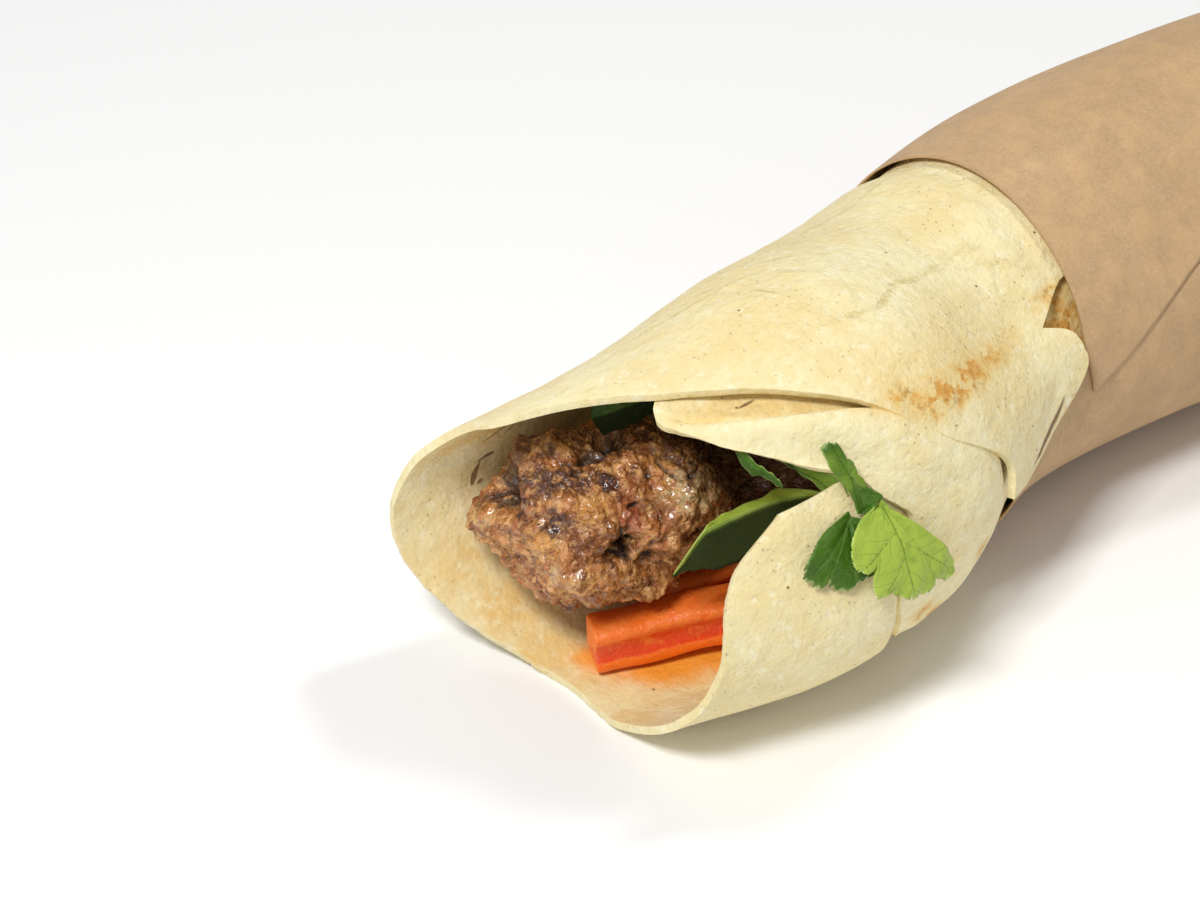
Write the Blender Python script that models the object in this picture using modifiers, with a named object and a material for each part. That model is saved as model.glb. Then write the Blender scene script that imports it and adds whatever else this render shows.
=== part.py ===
"""Kofta wrap: a soft flatbread rolled round a kofta, tomato and parsley, in a kraft paper sleeve.

The roll lies along X with its open mouth at -X, its underside on z = 0.  Every layer follows one
shared roll: a cross-section that changes along X, read at an angle W in degrees (0 far side, 90 top,
180 near side, 270 underside) and at a lift above or below its outer face.  Lengths are in metres.
"""
import bmesh
import bpy
import numpy as np
from mathutils import Vector, noise

# ---------------------------------------------------------------- driving dimensions
# Roll stations: x, sideways place of the middle, half width, half height.
ROLL = (
    (-0.104, 0.0121, 0.0352, 0.0290),
    (-0.082, 0.0021, 0.0365, 0.0320),
    (-0.055, -0.0005, 0.0368, 0.0335),
    (-0.020, 0.0039, 0.0328, 0.0302),
    (0.020, -0.0023, 0.0359, 0.0333),
    (0.060, -0.0157, 0.0382, 0.0349),
    (0.100, -0.0291, 0.0380, 0.0346),
)
REST_FLAT = 0.0008          # depth pressed flat where the roll rests
CENTRE = (0.0001, -0.0098)  # middle of the whole wrap's box in plan, moved to the origin

BREAD = 0.0015              # thickness of the flatbread
MIDDLE_LIFT = -0.0020       # outer face of the middle layer
INNER_LIFT = -0.0040        # outer face of the inner layer
TUCK = 0.0016               # how far the bread sinks where it slips under the paper
FLAP_LIFT = 0.0030          # how far the outer layer's corner stands up over the paper
BREAD_TAIL = 0.103          # x of the bread's hidden end

# Mouth edge of the main sheet, W against x, from the inner wall round to the outer corner.
MAIN_RIM = (
    (138, -0.0885), (147, -0.0960), (157, -0.1005), (175, -0.1040), (200, -0.1070), (225, -0.1075),
    (250, -0.1060), (283, -0.1028), (320, -0.1085), (350, -0.1110), (384, -0.1080), (405, -0.1050),
    (423, -0.1040), (432, -0.0985), (447, -0.0900), (460, -0.0810), (484, -0.0672), (506, -0.0567),
    (528, -0.0425), (540, -0.0425),
)
MAIN_START = 138            # W of the inner wall's free top edge
CUT_TURN = 503              # W where the outer layer's corner parts from the rest
CUT_TIP = -0.017            # x of that notch's tip
UNDER_PAPER_END = 493       # W where the outer layer ends once it is under the paper
CUT_LENGTH = 0.012          # length over which the notch's upper side draws back
FLAP_EDGE = ((503, -0.0170), (508, -0.0125), (514, -0.0115), (521, -0.0119), (528, -0.0180),
             (534, -0.0270), (540, -0.0370))

# Mouth edge of the middle layer, W against x, and how far behind it the puffy crest stands.
MIDDLE_RIM = ((72, -0.0780), (86, -0.0890), (99, -0.0911), (112, -0.0876), (136, -0.0804),
              (156, -0.0710), (200, -0.0630), (223, -0.0583), (244, -0.0560))
MIDDLE_CREST = ((72, 0.002), (100, 0.002), (112, 0.006), (124, 0.014), (148, 0.019), (170, 0.026),
                (195, 0.030), (244, 0.030))
MIDDLE_TAIL = 0.012

# Mouth edge of the paper, W against x, and its seam's W against x.
PAPER = 0.0004
PAPER_OVERLAP = 25          # degrees that the paper's end lies over its start
PAPER_STEP = 0.0008         # how far the paper's start lies below its end
PAPER_RIM = ((150, -0.002), (165, -0.012), (180, -0.026), (200, -0.030), (230, -0.030),
             (270, -0.023), (330, -0.008), (375, 0.000), (410, 0.0012), (440, 0.0003),
             (460, -0.0016), (484, -0.0046), (500, -0.0065), (520, -0.0085), (535, -0.0081))
SEAM = ((-0.030, 175), (-0.008, 175), (0.0186, 151), (0.050, 131), (0.112, 102))
PAPER_END = 0.107           # x where the paper turns in to shut the tail

# Kofta: half width and height, its ends' x, and its middle line as x, y, z.
KOFTA_HALF = (0.0160, 0.0150)
KOFTA_ENDS = (-0.1040, 0.0920)
KOFTA_LINE = ((-0.104, 0.0258, 0.0280), (-0.080, 0.0188, 0.0275), (-0.050, 0.0122, 0.0266),
              (-0.020, 0.0090, 0.0255), (0.020, 0.0005, 0.0265), (0.060, -0.0130, 0.0280),
              (0.092, -0.0240, 0.0285))
KOFTA_LUMPS = 0.07          # height of its lumps as a share of its half width

TOMATO_SIZE = (0.0072, 0.0082)  # width and height of a strip
TOMATO_EDGE = 0.0018            # rounding of its long edges
# Tomato strips: name, one end, other end, sideways bow.
TOMATO_STRIPS = (
    ("tomato_strip_front", (-0.0965, 0.0145, 0.0060), (-0.0620, -0.0110, 0.0084), 0.0010),
    ("tomato_strip_back", (-0.0785, 0.0120, 0.0074), (-0.0330, -0.0020, 0.0076), -0.0010),
)

LEAF = 0.0004
# Parsley on the roll: name, foot's x and W, heading, lifts at the foot, a third out and at the tips,
# lobes (turn, reach, half turn).
PARSLEY = (
    ("parsley_leaf_bright", (-0.0770, 145), 2, (-0.0008, 0.0009, 0.0018),
     ((-48, 0.0120, 26), (-12, 0.0210, 28), (24, 0.0230, 24))),
    ("parsley_leaf_dark", (-0.0790, 142), -18, (-0.0035, -0.0032, -0.0017),
     ((-34, 0.0150, 26), (2, 0.0180, 24), (28, 0.0150, 18))),
    ("parsley_leaf_upright", (-0.0812, 149), 163, (-0.0026, -0.0008, 0.0014),
     ((5, 0.0160, 12), (-13, 0.0130, 13))),
    ("parsley_leaf_curled", (-0.0838, 136), 196, (-0.0064, -0.0062, -0.0060),
     ((0, 0.0120, 15),)),
)
# Leaves inside the roll: name, points along the midrib, half width, side that the blade faces.
LONG_LEAVES = (
    ("leaf_long", ((-0.0690, -0.0160, 0.0435), (-0.0770, -0.0080, 0.0375), (-0.0825, -0.0025, 0.0295),
                   (-0.0858, 0.0012, 0.0200)), 0.0042, (-0.55, -0.35, 0.75)),
    ("leaf_edge", ((-0.0840, -0.0150, 0.0475), (-0.0866, -0.0115, 0.0505), (-0.0874, -0.0080, 0.0535),
                   (-0.0872, -0.0055, 0.0555)), 0.0012, (-0.60, -0.50, 0.60)),
    ("leaf_behind", ((-0.0580, 0.0100, 0.0500), (-0.0680, 0.0140, 0.0500), (-0.0770, 0.0180, 0.0490),
                     (-0.0850, 0.0230, 0.0470)), 0.0070, (-0.35, -0.20, 0.90)),
)

COLOURS = {
    "flatbread": (0.88, 0.78, 0.52, 0.75),
    "paper_sleeve": (0.56, 0.37, 0.21, 0.80),
    "kofta": (0.20, 0.075, 0.035, 0.45),
    "tomato": (0.85, 0.14, 0.02, 0.30),
    "parsley": (0.20, 0.38, 0.05, 0.45),
}


# ---------------------------------------------------------------- curves and the roll
def curve(table, at, column=1):
    """Smooth curve through the rows of a table, read at one place or many."""
    rows = np.array(table, dtype=float)
    place, value = rows[:, 0], rows[:, column]
    slope = np.gradient(value, place)
    at = np.asarray(at, dtype=float)
    inside = np.clip(at, place[0], place[-1])
    left = np.clip(np.searchsorted(place, inside) - 1, 0, len(place) - 2)
    span = place[left + 1] - place[left]
    t = (inside - place[left]) / span
    bend = (t ** 3 - 2 * t ** 2 + t) * slope[left] + (t ** 3 - t ** 2) * slope[left + 1]
    blend = 3 * t ** 2 - 2 * t ** 3
    end_slope = np.where(at < place[0], slope[0], slope[-1])
    return value[left] * (1 - blend) + value[left + 1] * blend + span * bend + (at - inside) * end_slope


def step(low, high, at):
    """Smooth rise from 0 at low to 1 at high."""
    t = np.clip((np.asarray(at, dtype=float) - low) / (high - low), 0.0, 1.0)
    return t * t * (3 - 2 * t)


def roll_point(turn, x, lift, floor=0.0, shrink=1.0):
    """Point of the roll at an angle and x, a lift away from its outer face, never below floor."""
    angle = np.radians(turn)
    middle, wide = curve(ROLL, x, 1), curve(ROLL, x, 2) * shrink
    tall = (curve(ROLL, x, 3) + REST_FLAT / 2) * shrink
    height = curve(ROLL, x, 3) - REST_FLAT / 2
    out_y, out_z = np.cos(angle) / wide, np.sin(angle) / tall
    out = np.hypot(out_y, out_z)
    y = middle + wide * np.cos(angle) + lift * out_y / out
    z = height + tall * np.sin(angle) + lift * out_z / out
    return np.stack(np.broadcast_arrays(x, y, np.maximum(z, floor)), axis=-1)


def same_turn(turn):
    """The turn as an angle on the paper's outer face, from 180 up to 540."""
    return 180 + np.mod(np.asarray(turn, dtype=float) - 180, 360)


def bread_floor(x):
    """Lowest height of the bread's middle: on the ground at the mouth, on the paper behind it."""
    return BREAD / 2 + (PAPER + 0.0004) * step(-0.046, -0.034, x)


def inner_tuck(x):
    """How far the inner layers sink on their way under the paper."""
    return TUCK * step(-0.024, -0.008, x)


def outer_tuck(turn, x):
    """How far the outer layer sinks on its way under the paper's own edge."""
    edge = curve(PAPER_RIM, same_turn(turn))
    return TUCK * step(edge - 0.013, edge - 0.0015, x)


def sink(turn, x, outside):
    """How far a layer sinks on its way under the paper, from inner layer (0) to outer layer (1)."""
    return inner_tuck(x) * (1 - outside) + outer_tuck(turn, x) * outside


def middle_base(turn):
    """Outer face of the middle layer before its lip: one layer down, then flush with the outside."""
    return MIDDLE_LIFT * (1 - step(185, 212, turn)) - 0.0007 * step(230, 244, turn)


def main_lift(turn, x):
    """Outer face of the main sheet: inner wall, then underside, far side, top and raised corner."""
    in_front = INNER_LIFT * (1 - step(150, 200, turn))
    behind = (middle_base(turn) + MIDDLE_LIFT) * (1 - step(225, 250, turn))
    rim = curve(MIDDLE_RIM, turn)
    covered = step(rim - 0.005, rim + 0.001, x) * (1 - step(244, 260, turn))
    layer = in_front * (1 - covered) + behind * covered
    corner = FLAP_LIFT * step(492, 518, turn) * step(-0.056, -0.026, x)
    return layer - sink(turn, x, step(185, 212, turn)) * (1 - step(496, 506, turn)) + corner


def middle_lift(turn, x):
    """Outer face of the middle layer: a soft lip that dips at its edge and again behind its crest."""
    behind = x - curve(MIDDLE_RIM, turn)
    crest = curve(MIDDLE_CREST, turn)
    lip = step(95, 118, turn) * (1 - step(175, 205, turn))
    dip = -0.0014 * (1 - step(0.0, 0.006, behind)) * lip * (1 - step(126, 140, turn))
    puff = 0.0012 * lip * np.exp(-((behind - crest * 0.7) / (0.3 * crest + 0.002)) ** 2)
    puff = puff * (1 - step(crest, crest + 0.003, behind) * (1 - step(165, 195, turn)))
    return middle_base(turn) + dip + puff - sink(turn, x, step(185, 212, turn))


# ---------------------------------------------------------------- shared making
def clear_scene():
    """Remove what the scene starts with."""
    for thing in list(bpy.data.objects):
        bpy.data.objects.remove(thing, do_unlink=True)


def material(name):
    """Principled material with the food's colour and roughness."""
    found = bpy.data.materials.get(name)
    if found:
        return found
    red, green, blue, rough = COLOURS[name]
    made = bpy.data.materials.new(name)
    made.use_nodes = True
    shader = made.node_tree.nodes["Principled BSDF"]
    shader.inputs["Base Color"].default_value = (red, green, blue, 1.0)
    shader.inputs["Roughness"].default_value = rough
    shader.inputs["Metallic"].default_value = 0.0
    return made


def sheet(name, columns, rows):
    """Flat grid object whose vertices know their column and row, to be shaped by a function."""
    bpy.ops.mesh.primitive_grid_add(x_subdivisions=columns, y_subdivisions=rows, size=2.0)
    thing = bpy.context.active_object
    thing.name = thing.data.name = name
    flat = np.empty(len(thing.data.vertices) * 3)
    thing.data.vertices.foreach_get("co", flat)
    flat = flat.reshape(-1, 3)
    across = np.rint((flat[:, 0] + 1) / 2 * columns) / columns
    along = np.rint((flat[:, 1] + 1) / 2 * rows) / rows
    return thing, across, along


def put(thing, points):
    """Move an object's vertices to the points, in the wrap's own frame."""
    centred = points - np.array([CENTRE[0], CENTRE[1], 0.0])
    thing.data.vertices.foreach_set("co", centred.astype(np.float32).ravel())
    thing.data.update()


def drop_faces(thing, unwanted):
    """Delete the faces whose every vertex is marked."""
    mesh = thing.data
    kept = [tuple(face.vertices) for face in mesh.polygons if not all(unwanted[v] for v in face.vertices)]
    used = sorted({v for face in kept for v in face})
    place = {old: new for new, old in enumerate(used)}
    points = [mesh.vertices[v].co.copy() for v in used]
    fresh = bpy.data.meshes.new(thing.name)
    fresh.from_pydata(points, [], [tuple(place[v] for v in face) for face in kept])
    thing.data = fresh
    bpy.data.meshes.remove(mesh)
    fresh.name = thing.name


def apply_all(thing):
    """Apply an object's modifiers in order."""
    bpy.ops.object.select_all(action="DESELECT")
    thing.select_set(True)
    bpy.context.view_layer.objects.active = thing
    for modifier in list(thing.modifiers):
        bpy.ops.object.modifier_apply(modifier=modifier.name)


def triangulate(thing):
    """Split the faces so that both sides of a thin sheet get the same triangles."""
    modifier = thing.modifiers.new("Triangles", "TRIANGULATE")
    modifier.quad_method = "FIXED"


def thicken(thing, thickness):
    """Give a sheet its thickness, half to each side."""
    modifier = thing.modifiers.new("Thickness", "SOLIDIFY")
    modifier.thickness = thickness
    modifier.offset = 0.0
    modifier.use_rim = True


def finish(thing, kind, collection):
    """Material, smooth shading and place in the wrap's collection."""
    thing.data.materials.clear()
    thing.data.materials.append(material(kind))
    thing.data.shade_smooth()
    for holder in list(thing.users_collection):
        holder.objects.unlink(thing)
    collection.objects.link(thing)
    return thing


# ---------------------------------------------------------------- flatbread
def stations(start, knee, end, share, along):
    """Place between start and end that spends share of the rows before the knee."""
    front = start + (knee - start) * along / share
    back = knee + (end - knee) * (np.clip(along - share, 0, 1) / (1 - share)) ** 1.8
    return np.where(along <= share, front, back)


def main_sheet():
    """Rolled sheet from the inner wall under and over to the raised corner, with its notch."""
    columns, rows, mouth_rows, cut_column = 50, 19, 12, 44
    thing, across, along = sheet("flatbread", columns, rows)
    share, cut_share = mouth_rows / rows, cut_column / columns
    corner = across > cut_share + 1e-6
    back_x = stations(CUT_TIP, CUT_TIP, BREAD_TAIL, share, along)
    cut_turn = CUT_TURN + (UNDER_PAPER_END - CUT_TURN) * np.clip((back_x - CUT_TIP) / CUT_LENGTH, 0, 1)
    turn = np.where(
        corner,
        CUT_TURN + (MAIN_RIM[-1][0] - CUT_TURN) * (across - cut_share) / (1 - cut_share),
        MAIN_START + (cut_turn - MAIN_START) * across / cut_share,
    )
    knee = np.where(turn >= CUT_TURN - 0.01, curve(FLAP_EDGE, turn), CUT_TIP)
    x = stations(curve(MAIN_RIM, turn), knee, BREAD_TAIL, share, along)
    put(thing, roll_point(turn, x, main_lift(turn, x) - BREAD / 2, bread_floor(x)))
    drop_faces(thing, (across >= cut_share - 1e-6) & (along >= share - 1e-6))
    thicken(thing, BREAD)
    apply_all(thing)
    return thing


def middle_sheet():
    """Middle layer on the near side, whose lower end grows out of the main sheet."""
    columns, rows = 22, 12
    thing, across, along = sheet("middle_layer", columns, rows)
    first, last = MIDDLE_RIM[0][0], MIDDLE_RIM[-1][0]
    turn = first + (last - first) * across
    rim = curve(MIDDLE_RIM, turn)
    x = rim + (MIDDLE_TAIL - rim) * along ** 1.3
    put(thing, roll_point(turn, x, middle_lift(turn, x) - BREAD / 2, bread_floor(x)))
    thicken(thing, BREAD)
    apply_all(thing)
    return thing


def make_flatbread(collection):
    """Main sheet and middle layer, joined into one solid."""
    bread = main_sheet()
    layer = middle_sheet()
    union = bread.modifiers.new("Joined", "BOOLEAN")
    union.operation = "UNION"
    union.object = layer
    union.solver = "EXACT"
    apply_all(bread)
    bpy.data.objects.remove(layer, do_unlink=True)
    return finish(bread, "flatbread", collection)


# ---------------------------------------------------------------- paper sleeve
def make_paper_sleeve(collection):
    """Paper wound once round the bread with an overlap, its tail pleated in and tucked shut."""
    columns, rows, tube_rows = 42, 15, 10
    thing, across, along = sheet("paper_sleeve", columns, rows)
    share = tube_rows / rows
    first, last = PAPER_RIM[0][0], PAPER_RIM[-1][0]
    start_x = curve(PAPER_RIM, first + (last - first) * across)
    tube = np.clip(along / share, 0, 1)
    x = start_x + (PAPER_END - start_x) * tube
    seam = curve(SEAM, x)
    turn = seam - PAPER_OVERLAP + (360 + PAPER_OVERLAP) * across
    step_down = PAPER_STEP * (1 - step(0, 2.4 * PAPER_OVERLAP, turn - seam + PAPER_OVERLAP))
    shut = np.clip((along - share) / (1 - share), 0, 1)
    shrink = 1 - 0.93 * shut ** 0.8
    pleat = 0.0012 * np.sin(np.radians(turn * 8)) * np.sin(np.pi * np.clip(shut * 1.1, 0, 1))
    tail_x = x + 0.005 * np.sin(np.pi * np.clip(shut * 2.2, 0, 1) / 2) * (1 - 0.9 * shut) + pleat
    lift = -PAPER / 2 - step_down
    points = roll_point(turn, x, lift, PAPER / 2, shrink)
    points[:, 0] = tail_x - np.where(shut > 0, step_down * 0.6, 0)
    put(thing, points)
    thicken(thing, PAPER)
    apply_all(thing)
    return finish(thing, "paper_sleeve", collection)


# ---------------------------------------------------------------- filling
def make_kofta(collection):
    """Minced meat finger that runs through the wrap, with a blunt broken front, lumpy all over."""
    bpy.ops.mesh.primitive_uv_sphere_add(segments=24, ring_count=28, radius=1.0)
    thing = bpy.context.active_object
    thing.name = thing.data.name = "kofta"
    front, back = KOFTA_ENDS
    points = []
    for vertex in thing.data.vertices:
        along = vertex.co.z
        angle = np.arctan2(vertex.co.y, vertex.co.x)
        share = ((along + 1) ** 1.35) / 2 if along < 0 else (along + 1) / 2
        x = front + (back - front) * share
        round_end = max(1 - abs(2 * share - 1) ** 30, 0) ** 0.5
        lumps = noise.fractal(Vector((x * 90, np.cos(angle) * 1.4, np.sin(angle) * 1.4)), 0.9, 2.0, 3)
        swell = round_end * (1 + KOFTA_LUMPS * lumps) if abs(along) < 0.999 else 0
        y = curve(KOFTA_LINE, x, 1) + KOFTA_HALF[0] * swell * np.cos(angle)
        z = curve(KOFTA_LINE, x, 2) + KOFTA_HALF[1] * swell * np.sin(angle)
        points.append((x, y, z))
    put(thing, np.array(points))
    return finish(thing, "kofta", collection)


def make_tomato_strips(collection):
    """Two cut strips with rounded edges, slightly bowed, lying along the bread's floor."""
    for name, one_end, other_end, bow in TOMATO_STRIPS:
        start, end = np.array(one_end), np.array(other_end)
        length = np.linalg.norm(end - start)
        bpy.ops.mesh.primitive_cube_add(size=1.0)
        thing = bpy.context.active_object
        thing.name = thing.data.name = name
        work = bmesh.new()
        work.from_mesh(thing.data)
        bmesh.ops.scale(work, vec=(length, *TOMATO_SIZE), verts=work.verts)
        lengthwise = [edge for edge in work.edges if abs((edge.verts[0].co - edge.verts[1].co).x) > 1e-6]
        bmesh.ops.subdivide_edges(work, edges=lengthwise, cuts=6)
        work.to_mesh(thing.data)
        work.free()
        rounding = thing.modifiers.new("Rounding", "BEVEL")
        rounding.width = TOMATO_EDGE
        rounding.segments = 2
        apply_all(thing)
        local = np.array([vertex.co for vertex in thing.data.vertices])
        ahead = (end - start) / length
        side = np.cross((0, 0, 1), ahead)
        side = side / np.linalg.norm(side)
        up = np.cross(ahead, side)
        share = local[:, :1] / length + 0.5
        middle = start + (end - start) * share + side * bow * np.sin(np.pi * share)
        put(thing, middle + side * local[:, 1:2] + up * local[:, 2:3])
        finish(thing, "tomato", collection)


# ---------------------------------------------------------------- leaves
def lobed_reach(turn, lobes):
    """How far a leaf reaches from its foot at a turn: rounded lobes with a scalloped edge."""
    reach = np.zeros_like(turn)
    for middle, length, half in lobes:
        away = np.clip(np.abs(turn - middle) / half, 0, 1.6)
        reach = np.maximum(reach, length * (1 - 0.42 * away ** 2.4))
    return reach


def make_parsley(collection):
    """Leaves that come out between the bread's layers and lie over them, thin and wavy."""
    for name, foot, heading, lifts, lobes in PARSLEY:
        columns, rows = 4 + 5 * len(lobes), 5
        thing, across, along = sheet(name, columns, rows)
        low = min(middle - half for middle, _, half in lobes)
        high = max(middle + half for middle, _, half in lobes)
        turn = low + (high - low) * across
        distance = lobed_reach(turn, lobes) * (0.08 + 0.92 * along)
        way = np.radians(turn + heading)
        x = foot[0] + distance * np.sin(way)
        arc = distance * np.cos(way)
        roll_turn = foot[1] + np.degrees(arc / curve(ROLL, x, 2))
        wave = 0.0005 * np.sin(turn * 0.16 + along * 3) * along
        lift = curve(((0, lifts[0]), (0.35, lifts[1]), (1, lifts[2])), along) + wave
        put(thing, roll_point(roll_turn, x, lift))
        triangulate(thing)
        thicken(thing, LEAF)
        apply_all(thing)
        finish(thing, "parsley", collection)


def make_long_leaves(collection):
    """Narrower leaves that hang inside the roll along a bent midrib."""
    for name, midrib, half_width, facing in LONG_LEAVES:
        columns, rows = 4, 9
        thing, across, along = sheet(name, columns, rows)
        path = [(index / (len(midrib) - 1), *point) for index, point in enumerate(midrib)]
        centre = np.stack([curve(path, along, column) for column in (1, 2, 3)], axis=-1)
        ahead = np.stack([curve(path, along + 0.01, column) for column in (1, 2, 3)], axis=-1)
        forward = ahead - centre
        forward /= np.linalg.norm(forward, axis=1)[:, None]
        side = np.cross(forward, np.array(facing))
        side /= np.linalg.norm(side, axis=1)[:, None]
        normal = np.cross(side, forward)
        half = half_width * np.sin(np.pi * (0.10 + 0.86 * along)) ** 0.7
        offset = (across - 0.5) * 2
        cup = 0.25 * half * offset ** 2 + 0.0003 * np.sin(along * 14) * offset
        put(thing, centre + side * (half * offset)[:, None] - normal * cup[:, None])
        triangulate(thing)
        thicken(thing, LEAF)
        apply_all(thing)
        finish(thing, "parsley", collection)


def main():
    clear_scene()
    collection = bpy.data.collections.new("kofta_wrap")
    bpy.context.scene.collection.children.link(collection)
    make_flatbread(collection)
    make_paper_sleeve(collection)
    make_kofta(collection)
    make_tomato_strips(collection)
    make_parsley(collection)
    make_long_leaves(collection)


main()
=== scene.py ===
"""Kofta wrap scene: a flatbread roll with kofta, tomato and parsley in a kraft paper sleeve.

Every layer follows one shared roll: a cross-section that changes along X, read at an angle W in
degrees (0 far side, 90 top, 180 near side, 270 underside, and on past 360 for the outer layer) and at
a lift above or below its outer face.  Lengths are in metres, and in millimetres in the tables of
marks, lumps, crumbs and leaves.
"""
from functools import reduce

import bmesh
import bpy
import numpy as np
from bpy.props import FloatProperty, FloatVectorProperty, PointerProperty
from bpy.types import Operator, Panel, PropertyGroup
from mathutils import Matrix, Vector, noise


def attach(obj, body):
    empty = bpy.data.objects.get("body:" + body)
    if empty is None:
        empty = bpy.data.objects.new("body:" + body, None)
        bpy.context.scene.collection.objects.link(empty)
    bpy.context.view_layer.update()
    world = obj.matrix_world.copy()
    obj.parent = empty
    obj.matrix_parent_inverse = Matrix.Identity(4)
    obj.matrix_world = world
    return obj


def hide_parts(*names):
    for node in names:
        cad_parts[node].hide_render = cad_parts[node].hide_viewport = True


bl_info = {
    "name": "Kofta Wrap",
    "version": (1, 0, 0),
    "blender": (4, 5, 0),
    "location": "3D View > Sidebar > Kofta Wrap",
    "description": "Builds a kofta wrap in a kraft paper sleeve with its finishes, lights and camera",
    "category": "Add Mesh",
}

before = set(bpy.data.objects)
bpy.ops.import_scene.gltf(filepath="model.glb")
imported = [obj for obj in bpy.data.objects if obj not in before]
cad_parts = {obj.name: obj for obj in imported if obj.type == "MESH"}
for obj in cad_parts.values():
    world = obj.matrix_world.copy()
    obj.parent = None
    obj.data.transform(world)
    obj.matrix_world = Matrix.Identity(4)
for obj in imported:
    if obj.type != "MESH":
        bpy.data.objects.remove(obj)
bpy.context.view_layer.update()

# ---------------------------------------------------------------- the roll and its layers
# Roll stations: x, sideways place of the middle, half width, half height.
ROLL = (
    (-0.104, 0.0121, 0.0352, 0.0290),
    (-0.082, 0.0021, 0.0365, 0.0320),
    (-0.055, -0.0005, 0.0368, 0.0335),
    (-0.020, 0.0039, 0.0328, 0.0302),
    (0.020, -0.0023, 0.0359, 0.0333),
    (0.060, -0.0157, 0.0382, 0.0349),
    (0.100, -0.0291, 0.0380, 0.0346),
)
ROLL_RADIUS = 0.0366        # radius that turns an angle on the roll into a length
REST_FLAT = 0.0008          # depth pressed flat where the roll rests
MAP_SCALE = 10              # units to the metre of a sheet's own map
MM = 1000
CENTRE = np.array((0.0001, -0.0098, 0.0))  # middle of the wrap's box in plan, moved to the origin

BREAD = 0.0015
MIDDLE_LIFT = -0.0020       # outer face of the middle layer
INNER_LIFT = -0.0040        # outer face of the inner layer
TUCK = 0.0016               # how far the bread sinks where it slips under the paper
FLAP_LIFT = 0.0030          # how far the outer layer's corner stands up over the paper
BREAD_TAIL = 0.103
# Mouth edge of the main sheet, W against x, from the inner wall round to the outer corner.
MAIN_RIM = (
    (138, -0.0885), (147, -0.0960), (157, -0.1005), (175, -0.1040), (200, -0.1070), (225, -0.1075),
    (250, -0.1060), (283, -0.1028), (320, -0.1085), (350, -0.1110), (384, -0.1080), (405, -0.1050),
    (423, -0.1040), (432, -0.0985), (447, -0.0900), (460, -0.0810), (484, -0.0672), (506, -0.0567),
    (528, -0.0425), (540, -0.0425),
)
MAIN_START = 138            # W of the inner wall's free top edge
CUT_TURN = 503              # W where the outer layer's corner parts from the rest
CUT_TIP = -0.017            # x of that notch's tip
EDGE_ROUND = 0.36           # rounding of a cut edge, as a share of the thickness
EDGE_ANGLE = 55             # degrees past which an edge is rounded
UNDER_PAPER_END = 493       # W where the outer layer ends once it is under the paper
CUT_LENGTH = 0.012          # length over which the notch's upper side draws back
FLAP_EDGE = ((503, -0.0170), (508, -0.0125), (514, -0.0115), (521, -0.0119), (528, -0.0180),
             (534, -0.0270), (540, -0.0370))
# Mouth edge of the middle layer, and how far behind it the puffy crest stands, W against x.
MIDDLE_RIM = (
    (72, -0.0780), (86, -0.0890), (94.9, -0.0925), (100.1, -0.0922), (105.6, -0.0906), (111.6, -0.0884),
    (117.9, -0.0858), (123.5, -0.0834), (131.5, -0.0796), (138.4, -0.0757), (143.2, -0.0744),
    (148.1, -0.0733), (153.5, -0.0712), (159.4, -0.0689), (164.6, -0.0691), (169.6, -0.0700),
    (179.1, -0.0716), (192.8, -0.0716), (210, -0.0690), (228, -0.0620), (244, -0.0560),
)
MIDDLE_CREST = ((72, 0.002), (100, 0.002), (112, 0.006), (124, 0.014), (148, 0.019), (170, 0.026),
                (195, 0.030), (244, 0.030))
MIDDLE_TAIL = 0.012

PAPER = 0.0004
PAPER_OVERLAP = 25          # degrees that the paper's end lies over its start
PAPER_STEP = 0.0008         # how far the paper's start lies below its end
PAPER_RIM = ((150, -0.002), (165, -0.012), (180, -0.026), (200, -0.030), (230, -0.030),
             (270, -0.023), (330, -0.008), (375, 0.000), (410, 0.0012), (440, 0.0003),
             (460, -0.0016), (484, -0.0046), (500, -0.0065), (520, -0.0085), (535, -0.0081))
SEAM = ((-0.030, 175), (-0.008, 175), (0.0186, 151), (0.050, 131), (0.112, 102))
PAPER_END = 0.107           # x where the paper turns in to shut the tail
PAPER_WRINKLE = 0.00035
PLEATS = 8
PLEAT_DEPTH = 0.0012
TAIL_LENGTH = 0.005
TAIL_SHUT = 0.93            # share by which the tail is drawn together

# Toasted and creased places on the bread's outside: x (mm), W, half length and half width (mm),
# turn in degrees from the x axis, strength.
TOAST_OUTSIDE = (
    (-59, 491.5, 5, 3, 30, 0.85), (-52, 495.5, 7, 3.4, 14, 1), (-43, 497, 7, 3.2, 8, 1),
    (-34, 498.5, 6, 2.4, 4, 0.8), (-26.5, 499.5, 4, 1.8, 0, 0.6), (-13, 141, 11, 12, 0, 1),
    (-9, 497, 4.5, 3, 0, 0.8), (-65, 204, 3, 2.2, 20, 0.9), (-61, 210, 3, 2.5, 0, 0.9),
    (-49.5, 194, 4, 2.2, 60, 0.8),
)
# Tanned patches; the rows from W 100 to 130.5 are painted shade in the pocket behind the middle layer's
# crest, under the outer layer's edge.
TAN_AND_POCKET_SHADE_OUTSIDE = (
    (-70, 446, 12, 10, 20, 0.55), (-48, 490, 17, 9.5, 10, 0.55), (-12, 141, 12, 12, 0, 1.6),
    (-56, 482, 9, 1.2, 4, 0.8), (-85, 100, 6, 3.6, 25, 1.2), (-79, 106, 5, 2.6, 35, 1.3),
    (-74, 113, 5, 2.2, 45, 1.2), (-69, 121.5, 5.5, 2, 50, 1.1), (-64, 130.5, 5, 1.4, 52, 0.8),
    (-10, 452, 10, 5, 20, 0.35),
)
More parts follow.
